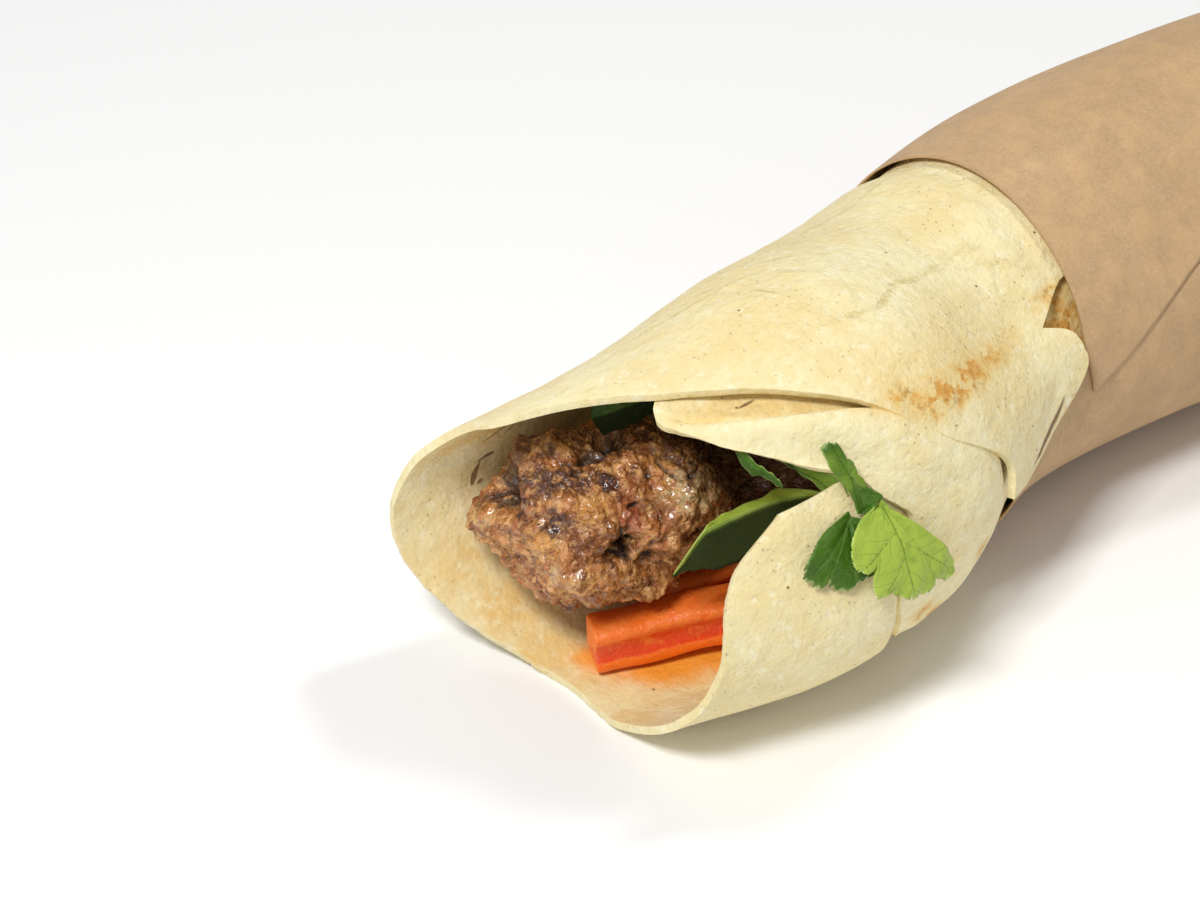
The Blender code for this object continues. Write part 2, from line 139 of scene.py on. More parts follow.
# Creases: a bump groove, and painted shade laid along them in a darker greenish tone.
SHADED_CREASES = (
    (-54.5, 462.3, 5.5, 0.7, 16, 0.8), (-45.5, 464.2, 4.5, 0.6, -4, 1), (-37, 464, 5, 0.7, 14, 0.9),
    (-27, 466.4, 5, 1, 6, 0.7), (-19, 467.2, 5, 1.4, 20, 0.5), (-59, 438, 2.5, 0.3, 75, 1),
    (-69, 418, 13, 0.6, 20, 0.6), (-22, 419, 16, 0.6, 4, 0.6), (-15, 478, 6, 1.4, 30, 0.5),
    (-46, 428, 3, 0.5, 50, 0.8),
)
SCORCH = (
    (-26.2, 530.4, 7, 0.6, -22, 1), (-21.5, 527.6, 3, 0.4, -35, 0.8), (-80, 101.6, 1.3, 0.3, -10, 0.9),
)
# The same on the inside, where W runs from the near wall under the filling to the far wall.
# Golden blotches on the floor; the rows at W 384 and 372 are painted shade on the far wall under the outer
# layer's lip.
TOAST_AND_WALL_SHADE_INSIDE = (
    (-101.5, 328, 6, 5, 70, 0.7), (-100, 312, 7, 4.5, 60, 0.9), (-96, 306, 6, 3.5, 20, 0.7),
    (-99, 292, 6, 5, 40, 0.8), (-100, 275, 5, 4, 20, 0.5), (-93, 384, 16, 6, 0, 0.9),
    (-85, 372, 12, 10, 0, 0.5), (-105, 250, 4, 4, 0, 0.5),
)
JUICE_INSIDE = (
    (-93, 281, 5, 5.5, 0, 0.9), (-88.5, 271, 7.5, 7, 0, 1), (-80, 272, 8, 9, 0, 1),
    (-70, 275, 8, 10, 0, 1),
)
# Cracks on the far wall, painted dark as the shade inside them.
SHADED_CRACKS_INSIDE = (
    (-95.5, 362, 3, 0.45, 80, 1), (-94, 367.8, 1.8, 0.55, 15, 1), (-94.8, 357.5, 0.7, 0.4, 60, 0.9),
    (-93, 381, 2.8, 0.4, 35, 0.7), (-90, 379, 1.6, 0.3, 60, 0.6),
)

# ---------------------------------------------------------------- the filling
# Kofta: half width and height, its ends' x, and its middle line as x, y, z.
KOFTA_HALF = (0.0160, 0.0150)
KOFTA_ENDS = (-0.1040, 0.0920)
KOFTA_LINE = ((-0.104, 0.0258, 0.0280), (-0.080, 0.0188, 0.0275), (-0.050, 0.0122, 0.0266),
              (-0.020, 0.0090, 0.0255), (0.020, 0.0005, 0.0265), (0.060, -0.0130, 0.0280),
              (0.092, -0.0240, 0.0285))
# Lobes and hollows pressed into the kofta's front: x, y, z, radius, height in mm.
KOFTA_FORMS = (
    (-101.8, 36.3, 26.7, 5, 2.6), (-101, 33.8, 36, 4.4, -8.8), (-103, 30.6, 35, 3.8, -8.4),
    (-100, 33.5, 38.5, 3.4, -3), (-95, 32.2, 40.2, 4.2, 3), (-92.6, 26.5, 42.5, 6, 1.4),
    (-99, 28.5, 40, 3, -2.2), (-95.5, 24.5, 42.5, 2.8, -2.2), (-91, 20.5, 43, 2.6, -2),
    (-85.1, 22, 42.6, 2.4, -4), (-97.8, 21.1, 41.5, 4, 1), (-92.5, 14.5, 40.6, 3, -1),
    (-85, 15, 41.5, 5, 1.4), (-80.9, 5.8, 35.9, 5.5, 3), (-78, 9, 39.5, 5, 1.6),
    (-94.4, 7.7, 30.8, 2.4, -6.2), (-97.5, 9.5, 30, 2.6, -2.8), (-91.2, 6.8, 26.2, 2.8, -3.4),
    (-102.5, 16.5, 25.5, 6, 1.6), (-97.4, 10.5, 35, 4.5, 1.4), (-102.1, 18.6, 35.7, 2.4, -1.6),
    (-101, 12.6, 25, 4, 1.4), (-88, 9, 18.5, 5, 2.4), (-94, 11, 17.5, 5, 1.2), (-86, 6, 31, 4.5, 1.8),
    (-103.6, 27, 31, 5, 1.2), (-101.5, 33, 20, 5, -1.4), (-77.5, 16.5, 42.3, 5, 1.2),
)
KOFTA_SEED = 4              # fixes the warp of the meat, which else changes from run to run
KOFTA_WAIST = (-0.0660, 0.0080, 0.0060)   # x, half length and depth of the neck behind the front lobe
# Relief of the meat: height (mm) and middle value of hills, lumps, crumbs, grains, clefts and roughness.
KOFTA_RELIEF = ((1.2, 0), (-1.8, 0.48), (-1.4, 0.45), (-0.8, 0.45), (-2.4, 0), (-0.4, 0.5))
# Coloured places on the kofta's front: x, y, z, radius in mm, strength.
# Char marks; the rows at (-93.9, 31.3), (-96.5, 33), (-87, 26), (-83, 20) and (-76, 15) are painted shade
# on the top lobes under the outer layer's lip.
KOFTA_CHAR_AND_SHADE = (
    (-99.7, 24, 40.8, 3.4, 0.9), (-97.8, 21.1, 41.5, 3.4, 0.95), (-95.2, 17.6, 41.3, 3, 0.9),
    (-92.5, 14.5, 40.6, 2.2, 1), (-102.1, 18.6, 35.7, 2.2, 1.3), (-102.6, 26.8, 36.7, 2.2, 1.1),
    (-100.5, 33, 18, 5, 0.7), (-94.4, 7.7, 30.8, 2, 1.3), (-93.9, 31.3, 40.2, 5.6, 0.75),
    (-96.5, 33, 41.5, 6.2, 0.6), (-87, 26, 42.5, 5, 0.75), (-76, 15, 42.3, 8, 0.8),
    (-83, 20, 42.6, 5, 0.65),
)
KOFTA_GOLD = (
    (-103.6, 21.2, 30.4, 3.2, 0.9), (-97.4, 14, 38.3, 2.8, 0.7), (-81.8, 11.4, 40.5, 3, 0.8),
    (-101, 12.6, 26.4, 2.6, 0.7), (-92, 26.5, 42.5, 2.6, 0.5),
)
KOFTA_GREY = (
    (-80.9, 5.8, 35.9, 4.6, 0.8), (-76.3, 5.1, 36.2, 3, 0.8), (-103, 18.5, 26.2, 2.6, 0.6),
    (-103, 34, 28, 2.6, 0.4),
)
KOFTA_RED = (
    (-93.3, 8.9, 34.7, 2.4, 0.9), (-101, 35, 27, 2, 0.8), (-91, 12.5, 38.5, 3, 0.6),
    (-99, 12.5, 22.5, 3, 0.6),
)
# Loose crumbs beside it: x, y, z, size in mm.
CRUMBS = (
    (-90.2, 9.5, 16.5, 1.1), (-91.6, 13.5, 16.5, 1), (-84.2, 7.5, 18.5, 1.2), (-83.4, 6.8, 16.5, 0.9),
    (-86.6, 8, 16, 1), (-88.6, 8.4, 15, 0.7), (-79.8, 4.5, 25, 1.1),
)

TOMATO_SIZE = (0.0086, 0.0102)
TOMATO_INSETS = (0.10, 0.35, 0.30)  # rings cut into a strip's ends
TOMATO_STRIPS = (
    ("tomato_front", "tomato_strip_front", (-0.0968, 0.0147, 0.0066), (-0.0620, -0.0110, 0.0094), 0.0010),
    ("tomato_back", "tomato_strip_back", (-0.0785, 0.0120, 0.0074), (-0.0330, -0.0020, 0.0076), -0.0010),
)
# Section of a strip, sideways and upwards in half sizes, from the near bottom edge round.
TOMATO_SECTION = (
    (-0.80, -1.00), (-1.00, -0.78), (-0.98, -0.48), (-0.84, -0.30), (-0.80, 0.00), (-0.84, 0.30),
    (-0.96, 0.52), (-0.98, 0.74), (-0.78, 0.92), (-0.30, 0.98), (0.30, 0.96), (0.80, 0.90),
    (1.00, 0.60), (1.00, -0.60), (0.80, -0.96), (0.00, -1.00),
)

LEAF = 0.0003
LEAF_WAVE, LEAF_CREASE, LEAF_CURL, LEAF_RUFFLE = 0.28, -0.22, -0.35, 0.16  # in mm
# Fan leaves: foot, outline from the foot round to it as x (mm), W, lift (mm), then their ribs as
# pairs of ends, x (mm) and W.
FAN_LEAVES = (
    ("parsley_bright", "parsley_leaf_bright", "fresh", (-75.9, 148.6, -0.6),
     ((-75.5, 148, 0), (-74.6, 151.3, 0.2), (-74.4, 154.4, 0.3), (-73.2, 158.8, 0.5),
      (-72.1, 162.3, 0.7), (-71.4, 165.7, 0.9), (-70.1, 167.6, 1.2), (-68.9, 168.2, 1.4),
      (-67.1, 170.9, 1.8), (-65.8, 174.5, 2.2), (-65.5, 177.9, 2.6), (-66, 180.5, 3),
      (-67, 181.4, 3), (-69.5, 179.7, 2.6), (-70.3, 178.5, 2.4), (-70.8, 179.7, 2.8),
      (-72.3, 180.5, 3), (-74.7, 180.4, 3), (-77.1, 179, 2.6), (-79, 176.5, 2.4),
      (-79.7, 174.8, 2.2), (-80.6, 174.7, 2.2), (-82.3, 174.4, 2.2), (-82.5, 171.2, 1.8),
      (-82.2, 167.8, 1.6), (-81, 165.7, 1.3), (-82.3, 165.9, 1.3), (-83.3, 165.7, 1.4),
      (-84.3, 164.1, 1.4), (-84.9, 160.6, 1.2), (-84.6, 157.1, 1), (-83.6, 154.3, 0.7),
      (-81.7, 152, 0.4), (-79.6, 150.2, 0.2), (-77.6, 149.3, 0)),
     (((-75.4, 150), (-76.1, 178)), ((-75.5, 158.5), (-83.8, 163.5)),
      ((-75.7, 161), (-67.5, 177)), ((-75.9, 166), (-81, 173)))),
    ("parsley_deep", "parsley_leaf_dark", "mid", (-79.4, 149, -3.4),
     ((-79.2, 147.6, -3.2), (-83.4, 148.9, -2.8), (-86.1, 150.9, -2.2), (-88.9, 154.2, -1.6),
      (-90.9, 157.3, -1.2), (-91.3, 159.2, -1.2), (-91.2, 161.5, -1.2), (-90.3, 162.9, -1.2),
      (-89.9, 165.6, -1.2), (-89.4, 166, -1.2), (-88, 164.1, -1.2), (-87.7, 166.5, -1.1),
      (-86.5, 169.5, -1), (-84.7, 170.3, -0.9), (-83.3, 169.2, -0.8), (-81.4, 169.7, -0.6),
      (-79.9, 168.8, -0.5), (-78.1, 166.1, -0.5), (-77.1, 160.2, -0.8), (-77.7, 154.5, -1.6),
      (-78.6, 151, -2.6)),
     (((-79.6, 150), (-89.6, 160.5)), ((-80.5, 152), (-84, 167.5)),
      ((-79.4, 152), (-79.6, 166)))),
    ("parsley_upright", "parsley_leaf_upright", "mid", (-78.2, 149.6, -2.2),
     ((-78.8, 149, -1.6), (-78.7, 145, -1.2), (-78.5, 141.5, -0.8), (-78.3, 136.8, -0.5),
      (-78.8, 134.7, -0.3), (-80.3, 132.4, 0), (-80.2, 130.6, 0.3), (-80.1, 128.1, 0.8),
      (-79.9, 126.6, 1.2), (-79.3, 126.3, 1.4), (-78.4, 126.9, 1.5), (-77.5, 127.6, 1.5),
      (-78.2, 130.6, 1), (-78.6, 132.8, 0.6), (-78.2, 132.1, 0.9), (-77.6, 132.3, 1),
      (-77.1, 133.6, 1), (-77.3, 135.2, 0.8), (-78.3, 137.6, 0.4), (-77.6, 137.8, 0.6),
      (-77, 139.1, 0.7), (-76.7, 142.2, 0.6), (-75.7, 145.5, 0.5), (-75.2, 147.2, 0.5),
      (-75.8, 147.4, 0.2), (-76.7, 149.2, -0.2), (-77.6, 150.4, -0.8)),
     (((-77.8, 149), (-78.8, 128)), ((-77.9, 141), (-76.4, 145.5)))),
)
# Leaves between three rails, each a row of points on the roll: x (mm), W, lift (mm).
CURLED_LEAVES = (
    ("parsley_curled", "parsley_leaf_curled", "mid",
     ((-83.1, 117, -5.6), (-81.2, 121.1, -4.8), (-79.6, 129.3, -4.8), (-78, 132.7, -4.6),
      (-77.1, 137.9, -4.2), (-77.4, 143.3, -4)),
     ((-83.1, 117.2, -5.8), (-81.6, 122, -6.2), (-80.3, 128.4, -6.6), (-78.7, 134, -6.8),
      (-77.9, 140, -6.6), (-77.8, 144.6, -5.2)),
     ((-83.1, 117.3, -6), (-81.9, 122.8, -6.4), (-80.7, 127.6, -6.8), (-79.3, 135.4, -7),
      (-78.5, 143.7, -6.6), (-78, 145.6, -5.6))),
    ("parsley_edge", "leaf_edge", "mid",
     ((-86.1, 107.2, -3.6), (-85.9, 110.3, -4.2), (-85.7, 117.7, -5.5), (-84.8, 122.1, -6.2),
      (-84.1, 126.1, -6.6), (-83.9, 129.5, -7)),
     ((-86.4, 108.6, -4.6), (-86.4, 111.6, -5.2), (-86.3, 119, -6.2), (-85, 122.6, -6.7),
      (-84.2, 127.2, -7), (-83.9, 130, -7.2)),
     ((-86.7, 110, -5), (-86.7, 112.4, -5.6), (-86.7, 120.1, -7), (-85.2, 123.2, -7.4),
      (-84.3, 128.3, -7.6), (-83.9, 130.4, -7.6))),
)
# Leaves between three rails, each a row of points x, y, z in mm.
HANGING_LEAVES = (
    ("parsley_long", "leaf_long", "fresh",
     ((-73.4, -17, 42.9), (-74.5, -9.5, 40.8), (-76.8, -7, 38.9), (-80.3, -4, 37),
      (-82.8, -2.5, 36.1), (-84.8, -1.5, 35), (-87, -1.8, 34.4), (-89.4, 2.5, 24.6)),
     ((-72, -16, 41.3), (-77.1, -11.5, 40.7), (-79.4, -9, 39.6), (-82.6, -6.5, 38.2),
      (-85.6, -3.5, 35.9), (-87, -2, 34.2), (-87.8, 1, 27.3), (-89.4, 2.5, 24.4)),
     ((-72.6, -16.5, 39), (-77, -13, 35.5), (-79.8, -10.8, 32.6), (-82.4, -8, 29.6),
      (-84.4, -5, 27), (-86.4, -2, 26.2), (-87.6, 0.5, 25.3), (-89.4, 2.5, 24.1))),
    # A leaf deep in shade: its deep tones are painted shade.
    ("parsley_behind", "leaf_behind", "deep",
     ((-62, 9, 54.6), (-72, 13.5, 53.4), (-80, 20, 51.2), (-85.2, 24.5, 48.8)),
     ((-62, 12, 50.5), (-72, 15.8, 49.4), (-80, 20, 47.5), (-86.2, 23.8, 46.2)),
     ((-62, 15.5, 47), (-72, 17.6, 45.5), (-80, 18.8, 44.2), (-85.6, 21.6, 43.4))),
)

# ---------------------------------------------------------------- camera and light
CAMERA_PLACE = (-0.4743536, -0.3038981, 0.4362195)
CAMERA_RIGHT = (0.6427876, -0.7660444, 0.0)
CAMERA_UP = (0.471622, 0.395738, 0.788011)
CAMERA_BACK = (-0.60365, -0.50652, 0.61566)
CAMERA_LENS = 110.52
CAMERA_SENSOR = 36.0
NEAR_CLIP = 0.01
# Lights: name, place, size, the setting with its power.
LIGHTS = (
    ("key_light", (-0.55, -0.05, 0.82), 0.22, "key_power"),
    ("top_light", (0.50, -0.04, 0.90), 0.14, "fill_power"),
)
LIGHT_AIM = (-0.04, 0.0, 0.03)
SKY_STRENGTH = 0.35
FLOOR_SIZE = 8.0
FLOOR_PLACE = (0.0, 0.0, -0.0002)
FLOOR_SHADE = (0.85, 0.85, 0.84)


# ---------------------------------------------------------------- curves and the roll
def curve(table, at, column=1):
    """Smooth curve through the rows of a table, read at one place or many."""
    rows = np.array(table, dtype=float)
    place, value = rows[:, 0], rows[:, column]
    slope = np.gradient(value, place)
    at = np.asarray(at, dtype=float)
    inside = np.clip(at, place[0], place[-1])
    left = np.clip(np.searchsorted(place, inside) - 1, 0, len(place) - 2)
    span = place[left + 1] - place[left]
    t = (inside - place[left]) / span
    bend = (t ** 3 - 2 * t ** 2 + t) * slope[left] + (t ** 3 - t ** 2) * slope[left + 1]
    blend = 3 * t ** 2 - 2 * t ** 3
    end_slope = np.where(at < place[0], slope[0], slope[-1])
    return value[left] * (1 - blend) + value[left + 1] * blend + span * bend + (at - inside) * end_slope


def step(low, high, at):
    """Smooth rise from 0 at low to 1 at high."""
    t = np.clip((np.asarray(at, dtype=float) - low) / (high - low), 0.0, 1.0)
    return t * t * (3 - 2 * t)


def grain(points, scale, seed=0.0):
    """Smooth noise from -1 to 1 at points given in metres, with scale features to the metre."""
    return np.array([noise.noise(Vector(p) * scale + Vector((seed, seed, seed))) for p in points])


def roll_point(turn, x, lift, floor=0.0, shrink=1.0):
    """Point of the roll at an angle and x, a lift away from its outer face, never below floor."""
    angle = np.radians(turn)
    middle, wide = curve(ROLL, x, 1), curve(ROLL, x, 2) * shrink
    tall = (curve(ROLL, x, 3) + REST_FLAT / 2) * shrink
    height = curve(ROLL, x, 3) - REST_FLAT / 2
    out_y, out_z = np.cos(angle) / wide, np.sin(angle) / tall
    out = np.hypot(out_y, out_z)
    y = middle + wide * np.cos(angle) + lift * out_y / out
    z = height + tall * np.sin(angle) + lift * out_z / out
    return np.stack(np.broadcast_arrays(x, y, np.maximum(z, floor)), axis=-1)


def same_turn(turn):
    """The turn as an angle on the paper's outer face, from 180 up to 540."""
    return 180 + np.mod(np.asarray(turn, dtype=float) - 180, 360)


def bread_floor(x):
    """Lowest height of the bread's middle: on the ground at the mouth, on the paper behind it."""
    return BREAD / 2 + (PAPER + 0.0004) * step(-0.046, -0.034, x)


def sink(turn, x, outside):
    """How far a layer sinks on its way under the paper, from inner layer (0) to outer layer (1)."""
    edge = curve(PAPER_RIM, same_turn(turn))
    inner = TUCK * step(-0.024, -0.008, x)
    outer = TUCK * step(edge - 0.009, edge - 0.0005, x)
    return inner * (1 - outside) + outer * outside


def middle_base(turn):
    """Outer face of the middle layer before its lip: one layer down, then flush with the outside."""
    return MIDDLE_LIFT * (1 - step(185, 212, turn)) - 0.0007 * step(230, 244, turn)


def main_lift(turn, x):
    """Outer face of the main sheet: inner wall, then underside, far side, top and raised corner."""
    in_front = INNER_LIFT * (1 - step(150, 200, turn))
    behind = (middle_base(turn) + MIDDLE_LIFT) * (1 - step(225, 250, turn))
    rim = curve(MIDDLE_RIM, turn)
    covered = step(rim - 0.005, rim + 0.001, x) * (1 - step(244, 260, turn))
    layer = in_front * (1 - covered) + behind * covered
    corner = FLAP_LIFT * step(492, 518, turn) * step(-0.056, -0.026, x)
    return layer - sink(turn, x, step(185, 212, turn)) * (1 - step(496, 506, turn)) + corner


def middle_lift(turn, x):
    """Outer face of the middle layer: a soft lip that dips at its edge and again behind its crest."""
    behind = x - curve(MIDDLE_RIM, turn)
    crest = curve(MIDDLE_CREST, turn)
    lip = step(95, 118, turn) * (1 - step(175, 205, turn))
    dip = -0.0014 * (1 - step(0.0, 0.006, behind)) * lip * (1 - step(126, 140, turn))
    puff = 0.0021 * lip * np.exp(-((behind - crest * 0.75) / (0.34 * crest + 0.002)) ** 2)
    dip = dip - 0.0008 * (1 - step(0.0, 0.005, behind)) * step(158, 176, turn) * (1 - step(212, 228, turn))
    past = step(crest - 0.0005, crest + 0.0024, behind) * (1 - step(165, 195, turn))
    pocket = -0.0018 * past * step(86, 100, turn) * (1 - step(132, 146, turn))
    pocket = pocket * (1 - step(crest + 0.010, crest + 0.020, behind))
    return middle_base(turn) + dip + puff * (1 - past) + pocket - sink(turn, x, step(185, 212, turn))


def rumple(turn, x):
    """Soft hills that every layer of bread shares at one place, 0 under the paper."""
    angle = np.radians(turn)
    places = np.stack([np.cos(angle) * ROLL_RADIUS, np.sin(angle) * ROLL_RADIUS, x], axis=-1)
    hills = 0.00040 * grain(places, 55, 3.0) + 0.00014 * grain(places, 170, 7.0)
    return hills * (1 - step(-0.012, 0.004, x))


def edge_wander(turn):
    """Small wander of a cut edge along x."""
    places = np.stack([turn * 0.0006, np.zeros_like(turn), np.zeros_like(turn)], axis=-1)
    return 0.0005 * grain(places, 150, 11.0) + 0.00018 * grain(places, 600, 5.0)


# ---------------------------------------------------------------- shader writing
class Wire:
    """Output of a shader node.  Arithmetic on it adds Math nodes."""

    def __init__(self, finish, socket):
        self.finish = finish
        self.socket = socket

    def maths(self, operation, *values):
        return self.finish.node("ShaderNodeMath", {"operation": operation}, dict(enumerate(values)))

    def __add__(self, other):
        return self.maths("ADD", self, other)

    def __sub__(self, other):
        return self.maths("SUBTRACT", self, other)

    def __rsub__(self, other):
        return self.maths("SUBTRACT", other, self)

    def __mul__(self, other):
        return self.maths("MULTIPLY", self, other)

    def __truediv__(self, other):
        return self.maths("DIVIDE", self, other)

    def __pow__(self, other):
        return self.maths("POWER", self, other)

    def __abs__(self):
        return self.maths("ABSOLUTE", self)

    __radd__ = __add__
    __rmul__ = __mul__

    def fraction(self):
        return self.maths("FRACT", self)

    def larger(self, other):
        return self.maths("MAXIMUM", self, other)

    def rise(self, low, high):
        """Smooth rise from 0 at low to 1 at high; it falls where low is the higher."""
        return self.finish.node("ShaderNodeMapRange", {"interpolation_type": "SMOOTHSTEP"},
                                {"Value": self, "From Min": low, "From Max": high})

    def brightness(self):
        """Green part of a colour, as one number."""
        split = self.finish.node("ShaderNodeSeparateColor", None, {0: self})
        return split.part(1)

    def part(self, index):
        """Another output of the same node."""
        return Wire(self.finish, self.socket.node.outputs[index])


class Finish:
    """A material being made: a Principled shader, the nodes that feed it and the colour so far."""

    def __init__(self, name, settings, **constants):
        self.settings = settings
        self.colour = None
        self.material = bpy.data.materials.new(name)
        self.material.use_nodes = True
        self.tree = self.material.node_tree
        self.shader = self.tree.nodes["Principled BSDF"]
        for socket, value in constants.items():
            self.shader.inputs[socket.replace("_", " ")].default_value = value
        self.place = self.node("ShaderNodeTexCoord", output="Object")

    def node(self, kind, settings=None, values=None, output=0):
        """Any node: its settings first, then the values or links of its sockets."""
        made = self.tree.nodes.new(kind)
        for name, value in (settings or {}).items():
            setattr(made, name, value)
        for name, value in (values or {}).items():
            self.plug(made.inputs[name], value)
        return Wire(self, made.outputs[output])

    def plug(self, socket, value):
        if isinstance(value, Wire):
            self.tree.links.new(value.socket, socket)
        else:
            socket.default_value = value

    def feed(self, **inputs):
        """Link wires to the shader's own sockets."""
        for socket, value in inputs.items():
            self.plug(self.shader.inputs[socket.replace("_", " ")], value)

    def noise(self, scale, detail=2.0, roughness=0.5, distortion=0.0, place=None):
        return self.node("ShaderNodeTexNoise", None,
                         {"Vector": place or self.place, "Scale": scale, "Detail": detail,
                          "Roughness": roughness, "Distortion": distortion})

    def cells(self, scale, feature="F1", place=None):
        return self.node("ShaderNodeTexVoronoi", {"feature": feature},
                         {"Vector": place or self.place, "Scale": scale})

    def tone(self, value):
        """A wire as it is, or a colour from its setting's name or its three parts."""
        if isinstance(value, Wire):
            return value
        if isinstance(value, str):
            value = getattr(self.settings, value)
        return (*value[:3], 1.0)

    def blend(self, factor, first, second):
        """Mix of two colours."""
        return self.node("ShaderNodeMix", {"data_type": "RGBA"},
                         {0: factor, 6: self.tone(first), 7: self.tone(second)}, output=2)

    def tint(self, factor, tone):
        """Lay a tone over the colour so far."""
        self.colour = self.blend(factor, self.colour, tone)

    def pair(self, first, second):
        """A vector from two wires, for a pattern on the piece's own map."""
        return self.node("ShaderNodeCombineXYZ", None, {0: first, 1: second})

    def warped(self, amount, scale):
        """Object coordinates pushed about by noise."""
        push = self.node("ShaderNodeTexNoise", None, {"Vector": self.place, "Scale": scale, "Detail": 2.0},
                         output="Color")
        centred = self.node("ShaderNodeVectorMath", {"operation": "SUBTRACT"},
                            {0: push, 1: (0.5, 0.5, 0.5)})
        return self.node("ShaderNodeVectorMath", {"operation": "MULTIPLY_ADD"},
                         {0: centred, 1: (amount * 2,) * 3, 2: self.place})

    def stretched(self, scale):
        """Object coordinates stretched for a pattern."""
        return self.node("ShaderNodeMapping", None, {"Vector": self.place, "Scale": scale})

    def bump(self, height, distance, strength=1.0, under=None):
        values = {"Height": height, "Distance": distance, "Strength": strength}
        if under is not None:
            values["Normal"] = under
        return self.node("ShaderNodeBump", None, values)

    def attribute(self, name):
        return self.node("ShaderNodeAttribute", {"attribute_name": name}, output="Fac")

    def sheet_place(self):
        """The piece's own map as two wires: arc length and x."""
        spread = self.node("ShaderNodeUVMap", {"uv_map": "sheet"})
        split = self.node("ShaderNodeSeparateXYZ", None, {0: spread})
        return split, split.part(1)


def spots(finish, rows, ragged, soft=0.7):
    """Soft ragged balls from rows of x, y, z, radius, strength."""
    made = []
    for *centre, radius, strength in rows:
        away = finish.node("ShaderNodeVectorMath", {"operation": "DISTANCE"},
                           {0: finish.place, 1: (np.array(centre) / MM - CENTRE).tolist()},
                           output="Value")
        made.append((away / (radius / MM) + ragged).rise(1 + soft / 2, 1 - soft / 2) * strength)
    return reduce(Wire.larger, made)


def patches(finish, arc, x, rows, ragged, soft):
    """Soft ragged ovals on a sheet from rows of x, W, half length, half width, turn, strength."""
    made = []
    for place_x, turn, half_length, half_width, slant, strength in rows:
        cos, sin = float(np.cos(np.radians(slant))), float(np.sin(np.radians(slant)))
        along_x = x - place_x / MM * MAP_SCALE
        along_arc = arc - float(np.radians(turn)) * ROLL_RADIUS * MAP_SCALE
        length = (along_x * cos + along_arc * sin) / (half_length / MM * MAP_SCALE)
        width = (along_arc * cos - along_x * sin) / (half_width / MM * MAP_SCALE)
        reach = (length * length + width * width) ** 0.5 + ragged
        made.append(reach.rise(1 + soft / 2, 1 - soft / 2) * strength)
    return reduce(Wire.larger, made)


